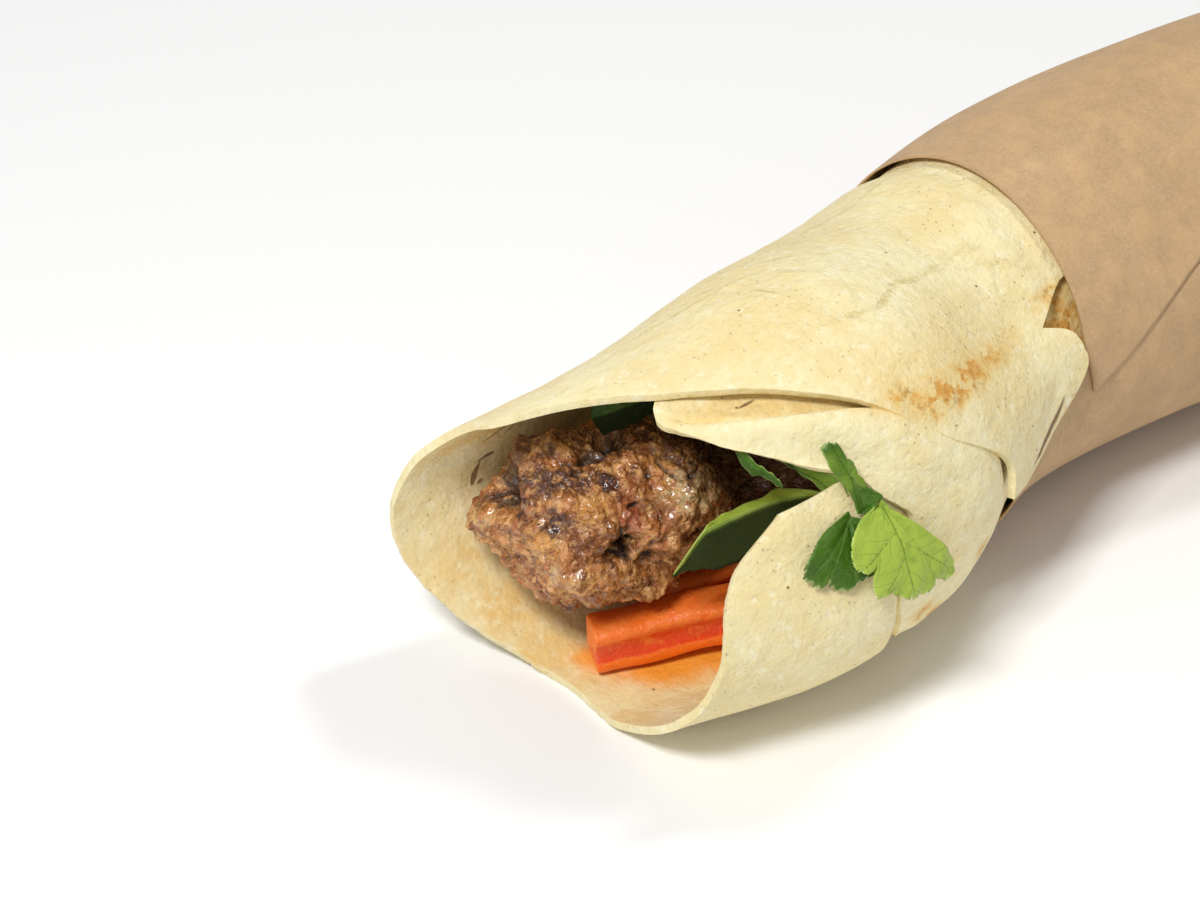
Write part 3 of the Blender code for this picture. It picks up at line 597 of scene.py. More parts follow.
# ---------------------------------------------------------------- finishes
def bread_finish(name, settings, inside):
    """Soft flatbread: cream mottling, fine specks, toasted patches, creases and pores, with painted shade
    along the creases and cracks, in the pocket under the outer layer's edge and on the far wall under its
    lip.
    """
    finish = Finish(name, settings, Specular_IOR_Level=0.38, Sheen_Weight=0.05)
    arc, x = finish.sheet_place()
    wobble = finish.noise(75, 2, 0.6)
    arc = arc + (wobble - 0.5) * 0.035
    x = x + (wobble.part(1).brightness() - 0.5) * 0.035
    cloud = finish.noise(52, 3, 0.65)
    fine = finish.noise(460, 3, 0.65)
    finish.colour = finish.blend(cloud.rise(0.38, 0.64), "bread_pale", "bread_cream")
    if not inside:
        strokes = finish.noise(1.0, 3, 0.6, 0.3, finish.pair(arc * 80, x * 28))
        finish.tint(strokes.rise(0.50, 0.72) * 0.50, "bread_shade")
        finish.tint(cloud.part(1).brightness().rise(0.54, 0.66) * 0.25, "bread_gold_and_pocket_shade")
    finish.tint(fine.rise(0.40, 0.75) * 0.30, "bread_cream")
    finish.tint(fine.rise(0.46, 0.30) * 0.60, "bread_white")
    tatter = (finish.noise(300, 3, 0.7) - 0.5) * 2.0
    speckle = finish.noise(850, 2, 0.7, 0.4).rise(0.44, 0.58)
    if inside:
        # Golden floor blotches, and painted shade on the far wall under the lip.
        golden = patches(finish, arc, x, TOAST_AND_WALL_SHADE_INSIDE, tatter * 0.8, 1.4)
        finish.tint(cloud.part(1).brightness().rise(0.44, 0.62) * 0.40, "bread_gold_and_pocket_shade")
        finish.tint(golden * (fine.rise(0.35, 0.60) * 0.5 + 0.3), "bread_tan_and_wall_shade")
        juice = patches(finish, arc, x, JUICE_INSIDE, tatter * 0.4, 1.0)
        finish.tint(juice, "juice")
        # Painted shade inside the cracks, in the darkest tone.
        lines = patches(finish, arc, x, SHADED_CRACKS_INSIDE, tatter * 0.9, 0.5)
        finish.tint(lines * 0.85, "bread_char_and_crack_shade")
    else:
        # Tanned patches, together with painted shade in the pocket under the outer layer's edge.
        tan = patches(finish, arc, x, TAN_AND_POCKET_SHADE_OUTSIDE, tatter * 0.6, 1.5)
        finish.tint(tan * (speckle * 0.40 + 0.60), "bread_gold_and_pocket_shade")
        toast = patches(finish, arc, x, TOAST_OUTSIDE, tatter * 0.9, 1.3)
        blisters = finish.cells(330, "F1", finish.warped(0.0022, 420)).rise(0.30, 0.62)
        browned = toast * (blisters * 0.75 + speckle * 0.25)
        finish.tint(toast * 0.60, "bread_gold_and_pocket_shade")
        finish.tint(browned, "bread_tan_and_wall_shade")
        finish.tint(browned.rise(0.45, 1.0) * 0.8, "bread_toast")
        finish.tint(toast * speckle * fine.rise(0.54, 0.64) * 0.45, "bread_char_and_crack_shade")
        # Painted shade along the creases.
        creases = patches(finish, arc, x, SHADED_CREASES, tatter * 0.9, 1.3)
        finish.tint(creases * (speckle * 0.45 + 0.30), "bread_crease_shade")
        scorch = patches(finish, arc, x, SCORCH, tatter * 0.5, 0.7)
        finish.tint(scorch * 0.95, "bread_char_and_crack_shade")
        lines = (creases * 0.5).larger(scorch)
    density = cloud.rise(0.42, 0.66) * 0.85 + 0.15
    specks = finish.cells(640).rise(0.22, 0.11) * finish.noise(400, 1).rise(0.43, 0.51) * density
    dots = finish.cells(240).rise(0.085, 0.050) * finish.noise(90, 1).rise(0.50, 0.55)
    finish.tint(specks * 0.7, "bread_speck")
    finish.tint(dots * 0.85, "bread_char_and_crack_shade")
    normal = finish.bump(finish.noise(1300, 2, 0.6) * 0.3 + fine * 0.7, 0.00030 if inside else 0.00060, 0.8)
    normal = finish.bump(finish.noise(150, 3, 0.6), 0.0016, 0.6, normal)
    normal = finish.bump(1 - lines, 0.0005, 0.6, normal)
    finish.feed(Base_Color=finish.colour, Roughness=fine * 0.25 + 0.46, Normal=normal)
    return finish.material


def paper_finish(settings):
    """Kraft paper: short pale and dark fibres both ways, faint clouds and soft wrinkles."""
    finish = Finish("kraft_paper", settings, Specular_IOR_Level=0.3, Sheen_Weight=0.06)
    arc, x = finish.sheet_place()
    clouds = finish.noise(38, 3, 0.65)
    bands = finish.noise(1.0, 2, 0.6, 0.3, finish.pair(arc * 11, x * 42))
    finish.colour = finish.blend(clouds.rise(0.25, 0.80) * 0.7, "paper_light", "paper_brown")
    finish.tint(bands.rise(0.35, 0.85) * 0.18, "paper_dark")
    thin = finish.noise(210, 1).rise(0.25, 0.70)
    threads = []
    for along_arc, along_x, bend, tone, share in (
        (330, 80, 1.5, "paper_pale", 0.55), (90, 340, 1.7, "paper_pale", 0.45),
        (260, 110, 1.2, "paper_dark", 0.40),
    ):
        fibre = finish.noise(1.0, 1, 0.5, bend, finish.pair(arc * along_arc, x * along_x))
        threads.append(abs(fibre - 0.5).rise(0.026, 0.004) * thin)
        finish.tint(threads[-1] * share, tone)
    grit = finish.noise(1500, 2, 0.6)
    finish.tint(grit.rise(0.5, 0.75) * 0.25, "paper_dark")
    finish.tint(grit.rise(0.48, 0.25) * 0.25, "paper_pale")
    shives = finish.cells(300).rise(0.07, 0.04) * finish.noise(90, 1).rise(0.5, 0.56)
    finish.tint(shives * 0.6, "paper_dark")
    normal = finish.bump(reduce(Wire.larger, threads) * 0.5 + grit * 0.5, 0.00010, 0.6)
    normal = finish.bump(finish.noise(100, 2, 0.5, 0.6), 0.0008, 0.4, normal)
    finish.feed(Base_Color=finish.colour, Roughness=clouds * 0.12 + 0.62, Normal=normal)
    return finish.material


def kofta_finish(settings):
    """Grilled minced meat: grains of many browns with char, golden and grey crumbs, pits and grease, with
    painted shade in pits and grain gaps, on the top lobes at the back and deeper inside the roll.
    """
    finish = Finish("kofta_meat", settings, Specular_IOR_Level=0.5, Coat_Roughness=0.14)
    pit = finish.attribute("pit")
    regions = finish.noise(150, 3, 0.7, 0.4)
    crumbs = finish.noise(680, 3, 0.75, 0.4)
    medium = finish.noise(300, 3, 0.7, 0.6)
    tatter = (medium.part(1).brightness() - 0.5) * 3.6
    grains = finish.cells(620, "F1", finish.warped(0.0005, 700))
    tone = grains.part(1).brightness()
    finish.colour = finish.blend(regions.rise(0.38, 0.58), "kofta_brown", "kofta_tan")
    finish.tint(regions.rise(0.54, 0.70) * 0.45, "kofta_pale")
    finish.tint(medium.rise(0.56, 0.68) * 0.7, "kofta_red")
    finish.tint(medium.rise(0.46, 0.34) * 0.6, "kofta_brown")
    finish.tint(tone.rise(0.45, 0.95) * 0.65, "kofta_pale")
    finish.tint(tone.rise(0.35, 0.0) * 0.45, "kofta_brown")
    finish.tint(crumbs.rise(0.54, 0.66) * 0.5, "kofta_pale")
    finish.tint(spots(finish, KOFTA_GOLD, tatter) * crumbs.rise(0.32, 0.55), "kofta_gold")
    finish.tint(spots(finish, KOFTA_GREY, tatter) * crumbs.rise(0.36, 0.58), "kofta_grey")
    finish.tint(spots(finish, KOFTA_RED, tatter) * 0.8, "kofta_red")
    # Char spots, with painted shade on the top lobes at the back.
    char = spots(finish, KOFTA_CHAR_AND_SHADE, tatter, 1.0) * crumbs.rise(0.70, 0.46)
    scattered = regions.part(1).brightness().rise(0.60, 0.68) * 0.7
    finish.tint(char.larger(scattered), "kofta_char_and_shade")
    # Painted shade in the gaps between the grains and in the hollows, from the depth painted on the mesh.
    finish.tint(grains.rise(0.45, 0.75) * 0.08, "kofta_hollow_shade")
    finish.tint(pit.rise(0.40, 0.05) * 0.9, "kofta_hollow_shade")
    # Painted shade deeper inside the roll: the meat darkens past x of about -0.079.
    split = finish.node("ShaderNodeSeparateXYZ", None, {0: finish.place})
    finish.tint(split.rise(-0.0790, -0.0700) * 0.9, "kofta_hollow_shade")
    normal = finish.bump(grains.rise(0.62, 0.05), 0.0006, 0.6)
    normal = finish.bump(finish.cells(1500).rise(0.62, 0.05) + crumbs * 0.5, 0.0004, 0.5, normal)
    wet = finish.noise(380, 2, 0.6).rise(0.40, 0.58)
    finish.feed(Base_Color=finish.colour, Roughness=0.55 - wet * 0.30, Normal=normal, Coat_Weight=wet * 0.7)
    return finish.material


def tomato_finish(settings):
    """Cut tomato: matte flesh on top, a wet red groove and a bright skin edge below."""
    finish = Finish("tomato_flesh", settings, Specular_IOR_Level=0.5, Subsurface_Weight=0.25,
                    Subsurface_Scale=0.003, Subsurface_Radius=(1.0, 0.25, 0.08), Coat_Roughness=0.06)
    band = finish.attribute("around") + (finish.noise(150, 3) - 0.5) * 0.07
    veins = finish.noise(1.0, 3, 0.6, 0.5, finish.stretched((110, 340, 500)))
    granules = finish.noise(900, 3, 0.65)
    finish.colour = finish.blend(veins.rise(0.36, 0.70), "tomato_flesh", "tomato_pale")
    finish.tint(granules.rise(0.50, 0.72) * 0.25, "tomato_pale")
    groove = band.rise(0.135, 0.175) * band.rise(0.42, 0.33)
    seeds = finish.blend(finish.noise(380, 4, 0.65).rise(0.48, 0.66), "tomato_wet", "tomato_flesh")
    finish.tint(groove, seeds)
    skin = band.rise(0.15, 0.12)
    finish.tint(skin, "tomato_skin")
    wet = groove.larger(skin * 0.6).larger(finish.noise(120, 2).rise(0.52, 0.66) * 0.6)
    normal = finish.bump(granules, 0.0004, 0.6)
    normal = finish.bump(veins, 0.0008, 0.5, normal)
    normal = finish.bump(finish.noise(330, 3, 0.6), 0.0008, 0.5, normal)
    finish.feed(Base_Color=finish.colour, Roughness=0.46 - wet * 0.28, Normal=normal, Coat_Weight=wet * 0.6)
    return finish.material


def leaf_finish(name, settings, shade):
    """Parsley blade: fine veins off each rib, a pale rim of painted highlight, painted shade on a hanging
    blade's lower half and a soft gloss, in a lit or a shaded set of tones.
    """
    # The sets are lit and shaded copies of one leaf, partly the leaves' own darker greens: fresh for lit
    # leaves, mid for leaves partly in shade, deep as painted shade for the leaf behind the kofta.
    face, depth, rim_highlight_share = {
        "fresh": ("leaf_fresh", "leaf_mid", 0.45),
        "mid": ("leaf_mid", "leaf_deep", 0.55),
        "deep": ("leaf_deep", "leaf_dark", 0.30),
    }[shade]
    finish = Finish(name, settings, Specular_IOR_Level=0.28)
    beside, along, rim, under = (finish.attribute(key) for key in ("beside", "ribwise", "rim", "under"))
    blotch = finish.noise(300, 4, 0.6)
    finish.colour = finish.blend(blotch.rise(0.44, 0.72) * 0.35, face, depth)
    finish.tint(finish.noise(120, 2).rise(0.5, 0.65) * 0.30, "leaf_fresh")
    ragged = (finish.noise(500, 3, 0.6) - 0.5) * 0.02
    rib = (beside + ragged).rise(0.020, 0.006)
    phase = ((along - beside * 1.05) * 3.4 + (finish.noise(180, 2) - 0.5) * 0.9).fraction()
    branch = abs(phase - 0.5).rise(0.055, 0.012) * beside.rise(0.50, 0.15)
    net = finish.cells(560, "DISTANCE_TO_EDGE").rise(0.06, 0.02)
    veins = rib.larger(branch * 0.55).larger(net * 0.16)
    finish.tint(veins * 0.55, depth)
    finish.tint(net * 0.06, "leaf_vein_and_rim_highlight")
    # Painted highlight along the leaf's rim.
    finish.tint(rim.rise(0.940, 0.990) * rim_highlight_share, "leaf_vein_and_rim_highlight")
    # Painted shade on the lower half of a hanging blade.
    finish.tint(under * 0.96, "leaf_dark")
    spots_of_water = finish.cells(330).rise(0.16, 0.10) * finish.noise(70, 1).rise(0.52, 0.60)
    normal = finish.bump(1 - veins, 0.00022, 0.5)
    normal = finish.bump(blotch, 0.0005, 0.45, normal)
    normal = finish.bump(spots_of_water, 0.0003, 0.8, normal)
    roughness = blotch * 0.15 + 0.34 - spots_of_water * 0.25 + under * 0.35
    finish.feed(Base_Color=finish.colour, Roughness=roughness, Normal=normal)
    return finish.material


def floor_finish(settings):
    finish = Finish("pale_floor", settings, Roughness=0.6, Specular_IOR_Level=0.1)
    finish.feed(Base_Color=finish.blend(finish.noise(3, 2) * 0.04, "floor", FLOOR_SHADE))
    return finish.material


# ---------------------------------------------------------------- shared making
def newly_added(name):
    """The primitive just added, under its piece's name."""
    thing = bpy.context.active_object
    thing.name = thing.data.name = name
    return thing


def sheet(name, columns, rows):
    """Flat grid object with each vertex's place across and along it."""
    bpy.ops.object.select_all(action="DESELECT")
    bpy.ops.mesh.primitive_grid_add(x_subdivisions=columns, y_subdivisions=rows, size=2.0)
    thing = newly_added(name)
    flat = vertex_places(thing)
    across = np.rint((flat[:, 0] + 1) / 2 * columns) / columns
    along = np.rint((flat[:, 1] + 1) / 2 * rows) / rows
    return thing, across, along


def vertex_places(thing, what="co"):
    flat = np.empty(len(thing.data.vertices) * 3)
    thing.data.vertices.foreach_get(what, flat)
    return flat.reshape(-1, 3)


def put(thing, points):
    """Move an object's vertices to the points, in the wrap's own frame."""
    thing.data.vertices.foreach_set("co", (points - CENTRE).astype(np.float32).ravel())
    thing.data.update()


def spread_map(thing, turn, x):
    """The piece's own map: arc length round the roll and x."""
    mesh = thing.data
    layer = mesh.uv_layers[0] if mesh.uv_layers else mesh.uv_layers.new()
    layer.name = "sheet"
    corners = np.empty(len(mesh.loops), dtype=np.int32)
    mesh.loops.foreach_get("vertex_index", corners)
    pairs = np.stack([np.radians(turn) * ROLL_RADIUS, x], axis=-1)[corners] * MAP_SCALE
    layer.data.foreach_set("uv", pairs.astype(np.float32).ravel())


def paint(thing, name, values):
    """Store one number for each vertex, for the finish to read."""
    layer = thing.data.attributes.new(name, "FLOAT", "POINT")
    layer.data.foreach_set("value", np.asarray(values, dtype=np.float32))


def drop_faces(thing, unwanted):
    """Delete the faces whose every vertex is marked."""
    work = bmesh.new()
    work.from_mesh(thing.data)
    gone = [face for face in work.faces if all(unwanted[vertex.index] for vertex in face.verts)]
    bmesh.ops.delete(work, geom=gone, context="FACES")
    work.to_mesh(thing.data)
    work.free()


def modify(thing, kind, **settings):
    modifier = thing.modifiers.new(kind.title(), kind)
    for name, value in settings.items():
        setattr(modifier, name, value)


def apply_all(thing):
    """Apply an object's modifiers in order."""
    bpy.ops.object.select_all(action="DESELECT")
    thing.select_set(True)
    bpy.context.view_layer.objects.active = thing
    for modifier in list(thing.modifiers):
        bpy.ops.object.modifier_apply(modifier=modifier.name)


def finish_piece(thing, materials, slot, *nodes):
    """Finishes, smooth shading and the piece's place in the frame."""
    for index, material in enumerate(materials):
        if index < len(thing.data.materials):
            thing.data.materials[index] = material
        else:
            thing.data.materials.append(material)
    thing.data.shade_smooth()
    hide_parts(*nodes)
    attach(thing, "root")


# ---------------------------------------------------------------- flatbread
def stations(start, knee, end, share, along):
    """Place between start and end that spends share of the rows before the knee."""
    front = start + (knee - start) * along / share
    back = knee + (end - knee) * (np.clip(along - share, 0, 1) / (1 - share)) ** 1.8
    return np.where(along <= share, front, back)


def round_edges(thing, thickness):
    """Thickness for a bread sheet and a soft rounding of its cut edges; its inside takes slot 1."""
    for _ in ("outside", "inside"):
        thing.data.materials.append(None)
    modify(thing, "SOLIDIFY", thickness=thickness, offset=0.0, use_rim=True, material_offset=1)
    modify(thing, "BEVEL", width=thickness * EDGE_ROUND, segments=3, limit_method="ANGLE",
           angle_limit=np.radians(EDGE_ANGLE), use_clamp_overlap=True)
    apply_all(thing)


def make_main_sheet(thickness):
    """Rolled sheet from the inner wall under and over to the raised corner, with its notch."""
    columns, rows, mouth_rows, cut_column = 300, 146, 112, 264
    thing, across, along = sheet("flatbread_roll", columns, rows)
    share, cut_share = mouth_rows / rows, cut_column / columns
    corner = across > cut_share + 1e-6
    back_x = stations(CUT_TIP, CUT_TIP, BREAD_TAIL, share, along)
    cut_turn = CUT_TURN + (UNDER_PAPER_END - CUT_TURN) * np.clip((back_x - CUT_TIP) / CUT_LENGTH, 0, 1)
    turn = np.where(
        corner,
        CUT_TURN + (MAIN_RIM[-1][0] - CUT_TURN) * (across - cut_share) / (1 - cut_share),
        MAIN_START + (cut_turn - MAIN_START) * across / cut_share,
    )
    knee = np.where(turn >= CUT_TURN - 0.01, curve(FLAP_EDGE, turn) + edge_wander(turn), CUT_TIP)
    x = stations(curve(MAIN_RIM, turn) + edge_wander(turn), knee, BREAD_TAIL, share, along)
    lift = main_lift(turn, x) + rumple(turn, x)
    put(thing, roll_point(turn, x, lift - BREAD / 2, bread_floor(x)))
    spread_map(thing, turn, x)
    drop_faces(thing, (across >= cut_share - 1e-6) & (along >= share - 1e-6))
    round_edges(thing, thickness)
    return thing


def make_middle_sheet(thickness):
    """Middle layer on the near side, whose lower end sinks into the main sheet."""
    columns, rows = 170, 110
    thing, across, along = sheet("flatbread_fold", columns, rows)
    first, last = MIDDLE_RIM[0][0], MIDDLE_RIM[-1][0]
    turn = first + (last - first) * across
    rim = curve(MIDDLE_RIM, turn) + edge_wander(turn + 360)
    x = rim + (MIDDLE_TAIL - rim) * along ** 1.3
    lift = middle_lift(turn, x) + rumple(turn, x)
    put(thing, roll_point(turn, x, lift - BREAD / 2, bread_floor(x)))
    spread_map(thing, turn, x)
    round_edges(thing, thickness)
    return thing


# ---------------------------------------------------------------- paper sleeve
def make_paper_sheet():
    """Paper wound once round the bread with an overlap, its tail pleated in and tucked shut."""
    columns, rows, tube_rows = 280, 150, 100
    thing, across, along = sheet("paper_wrap", columns, rows)
    share = tube_rows / rows
    first, last = PAPER_RIM[0][0], PAPER_RIM[-1][0]
    start_x = curve(PAPER_RIM, first + (last - first) * across)
    tube = np.clip(along / share, 0, 1)
    x = start_x + (PAPER_END - start_x) * tube
    seam = curve(SEAM, x)
    turn = seam - PAPER_OVERLAP + (360 + PAPER_OVERLAP) * across
    step_down = PAPER_STEP * (1 - step(0, 2.4 * PAPER_OVERLAP, turn - seam + PAPER_OVERLAP))
    shut = np.clip((along - share) / (1 - share), 0, 1)
    shrink = 1 - TAIL_SHUT * shut ** 0.8
    pleat = PLEAT_DEPTH * np.sin(np.radians(turn * PLEATS)) * np.sin(np.pi * np.clip(shut * 1.1, 0, 1))
    tail = TAIL_LENGTH * np.sin(np.pi * np.clip(shut * 2.2, 0, 1) / 2) * (1 - 0.9 * shut)
    angle = np.radians(turn)
    places = np.stack([np.cos(angle) * ROLL_RADIUS, np.sin(angle) * ROLL_RADIUS, x * 0.6], axis=-1)
    wrinkle = PAPER_WRINKLE * grain(places, 55, 2.0) * step(0.0, 0.03, x - start_x)
    points = roll_point(turn, x, -PAPER / 2 - step_down + wrinkle, PAPER / 2, shrink)
    points[:, 0] = x + tail + pleat - np.where(shut > 0, step_down * 0.6, 0)
    put(thing, points)
    spread_map(thing, turn, x)
    modify(thing, "SOLIDIFY", thickness=PAPER, offset=0.0, use_rim=True)
    apply_all(thing)
    return thing


# ---------------------------------------------------------------- filling
def make_kofta_mesh(name):
    """Lumpy finger of mince with a craggy broken front, and how deep each point lies."""
    bpy.ops.object.select_all(action="DESELECT")
    bpy.ops.mesh.primitive_uv_sphere_add(segments=288, ring_count=230, radius=1.0)
    thing = newly_added(name)
    ball = vertex_places(thing)
    ring = np.arccos(np.clip(-ball[:, 2], -1, 1)) / np.pi
    angle = np.arctan2(ball[:, 1], ball[:, 0])
    knee, knee_share = 0.80, 0.27
    share = np.where(
        ring < knee,
        knee_share * (ring / knee) ** 1.6,
        knee_share + (1 - knee_share) * (np.clip(ring - knee, 0, 1) / (1 - knee)) ** 1.25,
    )
    front, back = KOFTA_ENDS
    x = front + (back - front) * share
    swell = np.maximum(1 - np.abs(2 * share - 1) ** 30, 0) ** 0.5
    y = curve(KOFTA_LINE, x, 1) + KOFTA_HALF[0] * swell * np.cos(angle)
    z = curve(KOFTA_LINE, x, 2) + KOFTA_HALF[1] * swell * np.sin(angle)
    base = np.stack([x, y, z], axis=-1)
    put(thing, base)
    outward = vertex_places(thing, "normal")
    depth = np.zeros(len(base))
    for *place, radius, height in np.array(KOFTA_FORMS) / MM:
        away = np.linalg.norm(base - place, axis=1) / radius
        depth += height * np.exp(-away ** 2 * 1.6)
    noise.seed_set(KOFTA_SEED)
    crags = []
    for point in base:
        spot = Vector(point)
        warp = spot + 0.0013 * noise.noise_vector(spot * 240)
        ridge = 1 - min(abs(noise.noise(spot * 130 + Vector((4, 4, 4)))) / 0.07, 1)
        crags.append((
            noise.fractal(spot * 85, 0.8, 2.0, 4),
            noise.voronoi(warp * 190)[0][0],
            noise.voronoi(warp * 430)[0][0],
            noise.voronoi(spot * 900)[0][0],
            ridge * max(noise.noise(spot * 70 + Vector((9, 9, 9))) + 0.1, 0),
            noise.turbulence(spot * 260, 3, False),
        ))
    heights, middles = np.array(KOFTA_RELIEF).T
    relief = (np.array(crags) - middles) @ heights / MM
    inside = 1 - step(-0.050, -0.030, base[:, 0])
    waist_x, waist_length, waist_depth = KOFTA_WAIST
    waist = waist_depth * np.exp(-((base[:, 0] - waist_x) / waist_length) ** 2)
    move = (depth + relief) * (0.35 + 0.65 * inside) - waist
    # The depth that the finish turns into painted shade in the hollows.
    paint(thing, "pit", np.clip(0.5 + (relief + depth * 0.25) / 0.0030, 0, 1))
    put(thing, base + outward * move[:, None])
    return thing


def make_strip(name, start, end, bow):
    """One cut strip with a grooved near side, slightly bowed, wavy along its edges."""
    rings = 26
    count = len(TOMATO_SECTION)
    bpy.ops.object.select_all(action="DESELECT")
    bpy.ops.mesh.primitive_cylinder_add(vertices=count, radius=1.0, depth=2.0, end_fill_type="NGON")
    thing = newly_added(name)
    work = bmesh.new()
    work.from_mesh(thing.data)
    sides = [edge for edge in work.edges if abs((edge.verts[0].co - edge.verts[1].co).z) > 1.0]
    bmesh.ops.subdivide_edges(work, edges=sides, cuts=rings - 2)
    caps = [face for face in work.faces if len(face.verts) == count]
    for thickness in TOMATO_INSETS:
        bmesh.ops.inset_region(work, faces=caps, thickness=thickness)
    work.to_mesh(thing.data)
    work.free()
    local = vertex_places(thing)
    share = (local[:, 2] + 1) / 2
    radius = np.clip(np.hypot(local[:, 0], local[:, 1]), 0, 1)
    turn = np.mod(np.arctan2(local[:, 0], local[:, 1]), 2 * np.pi) / (2 * np.pi)
    section = np.array(TOMATO_SECTION + TOMATO_SECTION[:1])
    index = np.clip(np.rint(turn * count), 0, count).astype(int)
    side_out = section[index, 0] * radius * TOMATO_SIZE[0] / 2
    up_out = section[index, 1] * radius * TOMATO_SIZE[1] / 2
    start, end = np.array(start), np.array(end)
    ahead = (end - start) / np.linalg.norm(end - start)
    side = np.cross((0, 0, 1), ahead)
    side = side / np.linalg.norm(side)
    up = np.cross(ahead, side)
    squeeze = 0.96 + 0.04 * np.sin(share * 15 + up_out * 300 + side_out * 200)
    rounded = 0.0009 * (1 - radius) * np.sign(share - 0.5) * (np.abs(share - 0.5) > 0.499)
    middle = start + (end - start) * share[:, None] + side * (bow * np.sin(np.pi * share))[:, None]
    put(thing, middle + ahead * rounded[:, None] + side * (side_out * squeeze)[:, None]
        + up * (up_out * squeeze)[:, None])
    paint(thing, "around", np.where(index == count, 0, index) / count)
    modify(thing, "SUBSURF", levels=3, render_levels=3)
    apply_all(thing)
    return thing


def make_crumbs(name, places):
    """Small broken bits of mince."""
    crumbs = []
    for index, (*place, size) in enumerate(np.array(places) / MM):
        bpy.ops.object.select_all(action="DESELECT")
        bpy.ops.mesh.primitive_ico_sphere_add(subdivisions=4, radius=1.0)
        thing = newly_added(name)
        ball = vertex_places(thing)
        bumps = 1 + 0.35 * grain(ball, 1.6, index * 3.1) + 0.12 * grain(ball, 5.0, index * 1.7)
        put(thing, place + ball * bumps[:, None] * size * np.array((1.0, 0.8, 0.7)))
        # Random depths for the same painted hollow shade.
        paint(thing, "pit", 0.5 + 0.4 * grain(ball, 3.0, index * 2.3))
        crumbs.append(thing)
    bpy.ops.object.select_all(action="DESELECT")
    for thing in crumbs:
        thing.select_set(True)
    bpy.context.view_layer.objects.active = crumbs[0]
    bpy.ops.object.join()
    return crumbs[0]


# ---------------------------------------------------------------- leaves
def flat_place(x, turn):
    """Place on the unrolled roll, in millimetres."""
    return np.stack([x, np.radians(turn) * ROLL_RADIUS * MM], axis=-1)


def rib_map(points, ribs):
    """Distance beside the nearest rib and along it, in centimetres."""
    beside = np.full(len(points), 1e9)
    ribwise = np.zeros(len(points))
    for begin, end in ribs:
        line = end - begin
        length = np.linalg.norm(line)
        way = line / length
        along = (points - begin) @ way
        away = np.linalg.norm(points - begin - np.clip(along, 0, length)[:, None] * way, axis=1)
        nearer = away < beside
        beside = np.where(nearer, away, beside)
        ribwise = np.where(nearer, along, ribwise)
    return beside / 10, ribwise / 10


def thin_leaf(thing):
    """The same triangles on both faces of a thin blade."""
    modify(thing, "TRIANGULATE", quad_method="FIXED")
    modify(thing, "SOLIDIFY", thickness=LEAF, offset=0.0, use_rim=True)
    apply_all(thing)


def make_fan_leaf(name, foot, outline, ribs):
    """Lobed blade that spreads from its foot over the roll."""
    columns, rows = 150, 26
    thing, across, along = sheet(name, columns, rows)
    rows_out = np.array(outline, dtype=float)
    flat = flat_place(rows_out[:, 0], rows_out[:, 1])
    gaps = np.linalg.norm(np.diff(flat, axis=0), axis=1)
    place = np.concatenate([[0.0], np.cumsum(gaps)]) / gaps.sum()
    table = np.column_stack([place, rows_out])
    rim_x, rim_turn, rim_lift = (curve(table, across, column) for column in (1, 2, 3))
    teeth = 0.035 * np.abs(np.sin(across * np.pi * len(outline) * 0.9)) + 0.018 * np.sin(across * 173)
    reach = (0.03 + 0.97 * along ** 0.9) * (1 - (0.035 - teeth) * along ** 4)
    x = foot[0] + (rim_x - foot[0]) * reach
    turn = foot[1] + (rim_turn - foot[1]) * reach
    lift = foot[2] + (rim_lift - foot[2]) * (1 - (1 - reach) ** 1.5)
    points = flat_place(x, turn)
    rib_ends = [tuple(flat_place(*end) for end in rib) for rib in ribs]
    beside, ribwise = rib_map(points, rib_ends)
    wave = LEAF_WAVE * np.sin(points[:, 0] * 1.1 + points[:, 1] * 0.7) * along ** 2
    crease = LEAF_CREASE * np.exp(-(beside / 0.06) ** 2) * (1 - along ** 3)
    curl = LEAF_CURL * step(0.9, 1.0, along)
    put(thing, roll_point(turn, x / MM, (lift + wave + crease + curl) / MM))
    paint(thing, "beside", beside)
    paint(thing, "ribwise", ribwise)
    paint(thing, "rim", along)
    paint(thing, "under", np.zeros(len(along)))
    thin_leaf(thing)
    return thing


def make_rail_leaf(name, rails, on_roll):
    """Blade between an upper edge, a fold and a lower edge, with its lower half in its own shade."""
    columns, rows = 24, 90
    drape = 0.35 if on_roll else 1.0
    thing, across, along = sheet(name, columns, rows)
    lines = []
    for rail in rails:
        points = np.array(rail, dtype=float)
        if on_roll:
            points = roll_point(points[:, 1], points[:, 0] / MM, points[:, 2] / MM) * MM
        table = np.column_stack([np.linspace(0, 1, len(points)), points])
        lines.append(np.stack([curve(table, along, column) for column in (1, 2, 3)], axis=-1))
    upper, rib, lower = lines
    first = np.clip(across * 2, 0, 1)[:, None]
    second = np.clip(across * 2 - 1, 0, 1)[:, None]
    ease = first * (2 - first) * 0.35 + first * 0.65
    points = upper + (rib - upper) * ease + (lower - rib) * (second * second * 0.35 + second * 0.65)
    beside = np.linalg.norm(points - rib, axis=1)
    row_ends = rib[np.argsort(along)][::columns + 1]
    length = np.linalg.norm(np.diff(row_ends, axis=0), axis=1).sum()
    points[:, 2] += LEAF_RUFFLE * np.sin(along * 37) * (2 * across - 1) ** 2
    put(thing, points / MM)
    paint(thing, "beside", beside / 10)
    paint(thing, "ribwise", along * length / 10)
    paint(thing, "rim", np.maximum(across, 1 - across))
    paint(thing, "under", step(0.48, 0.56, across) * drape)
    thin_leaf(thing)
    return thing


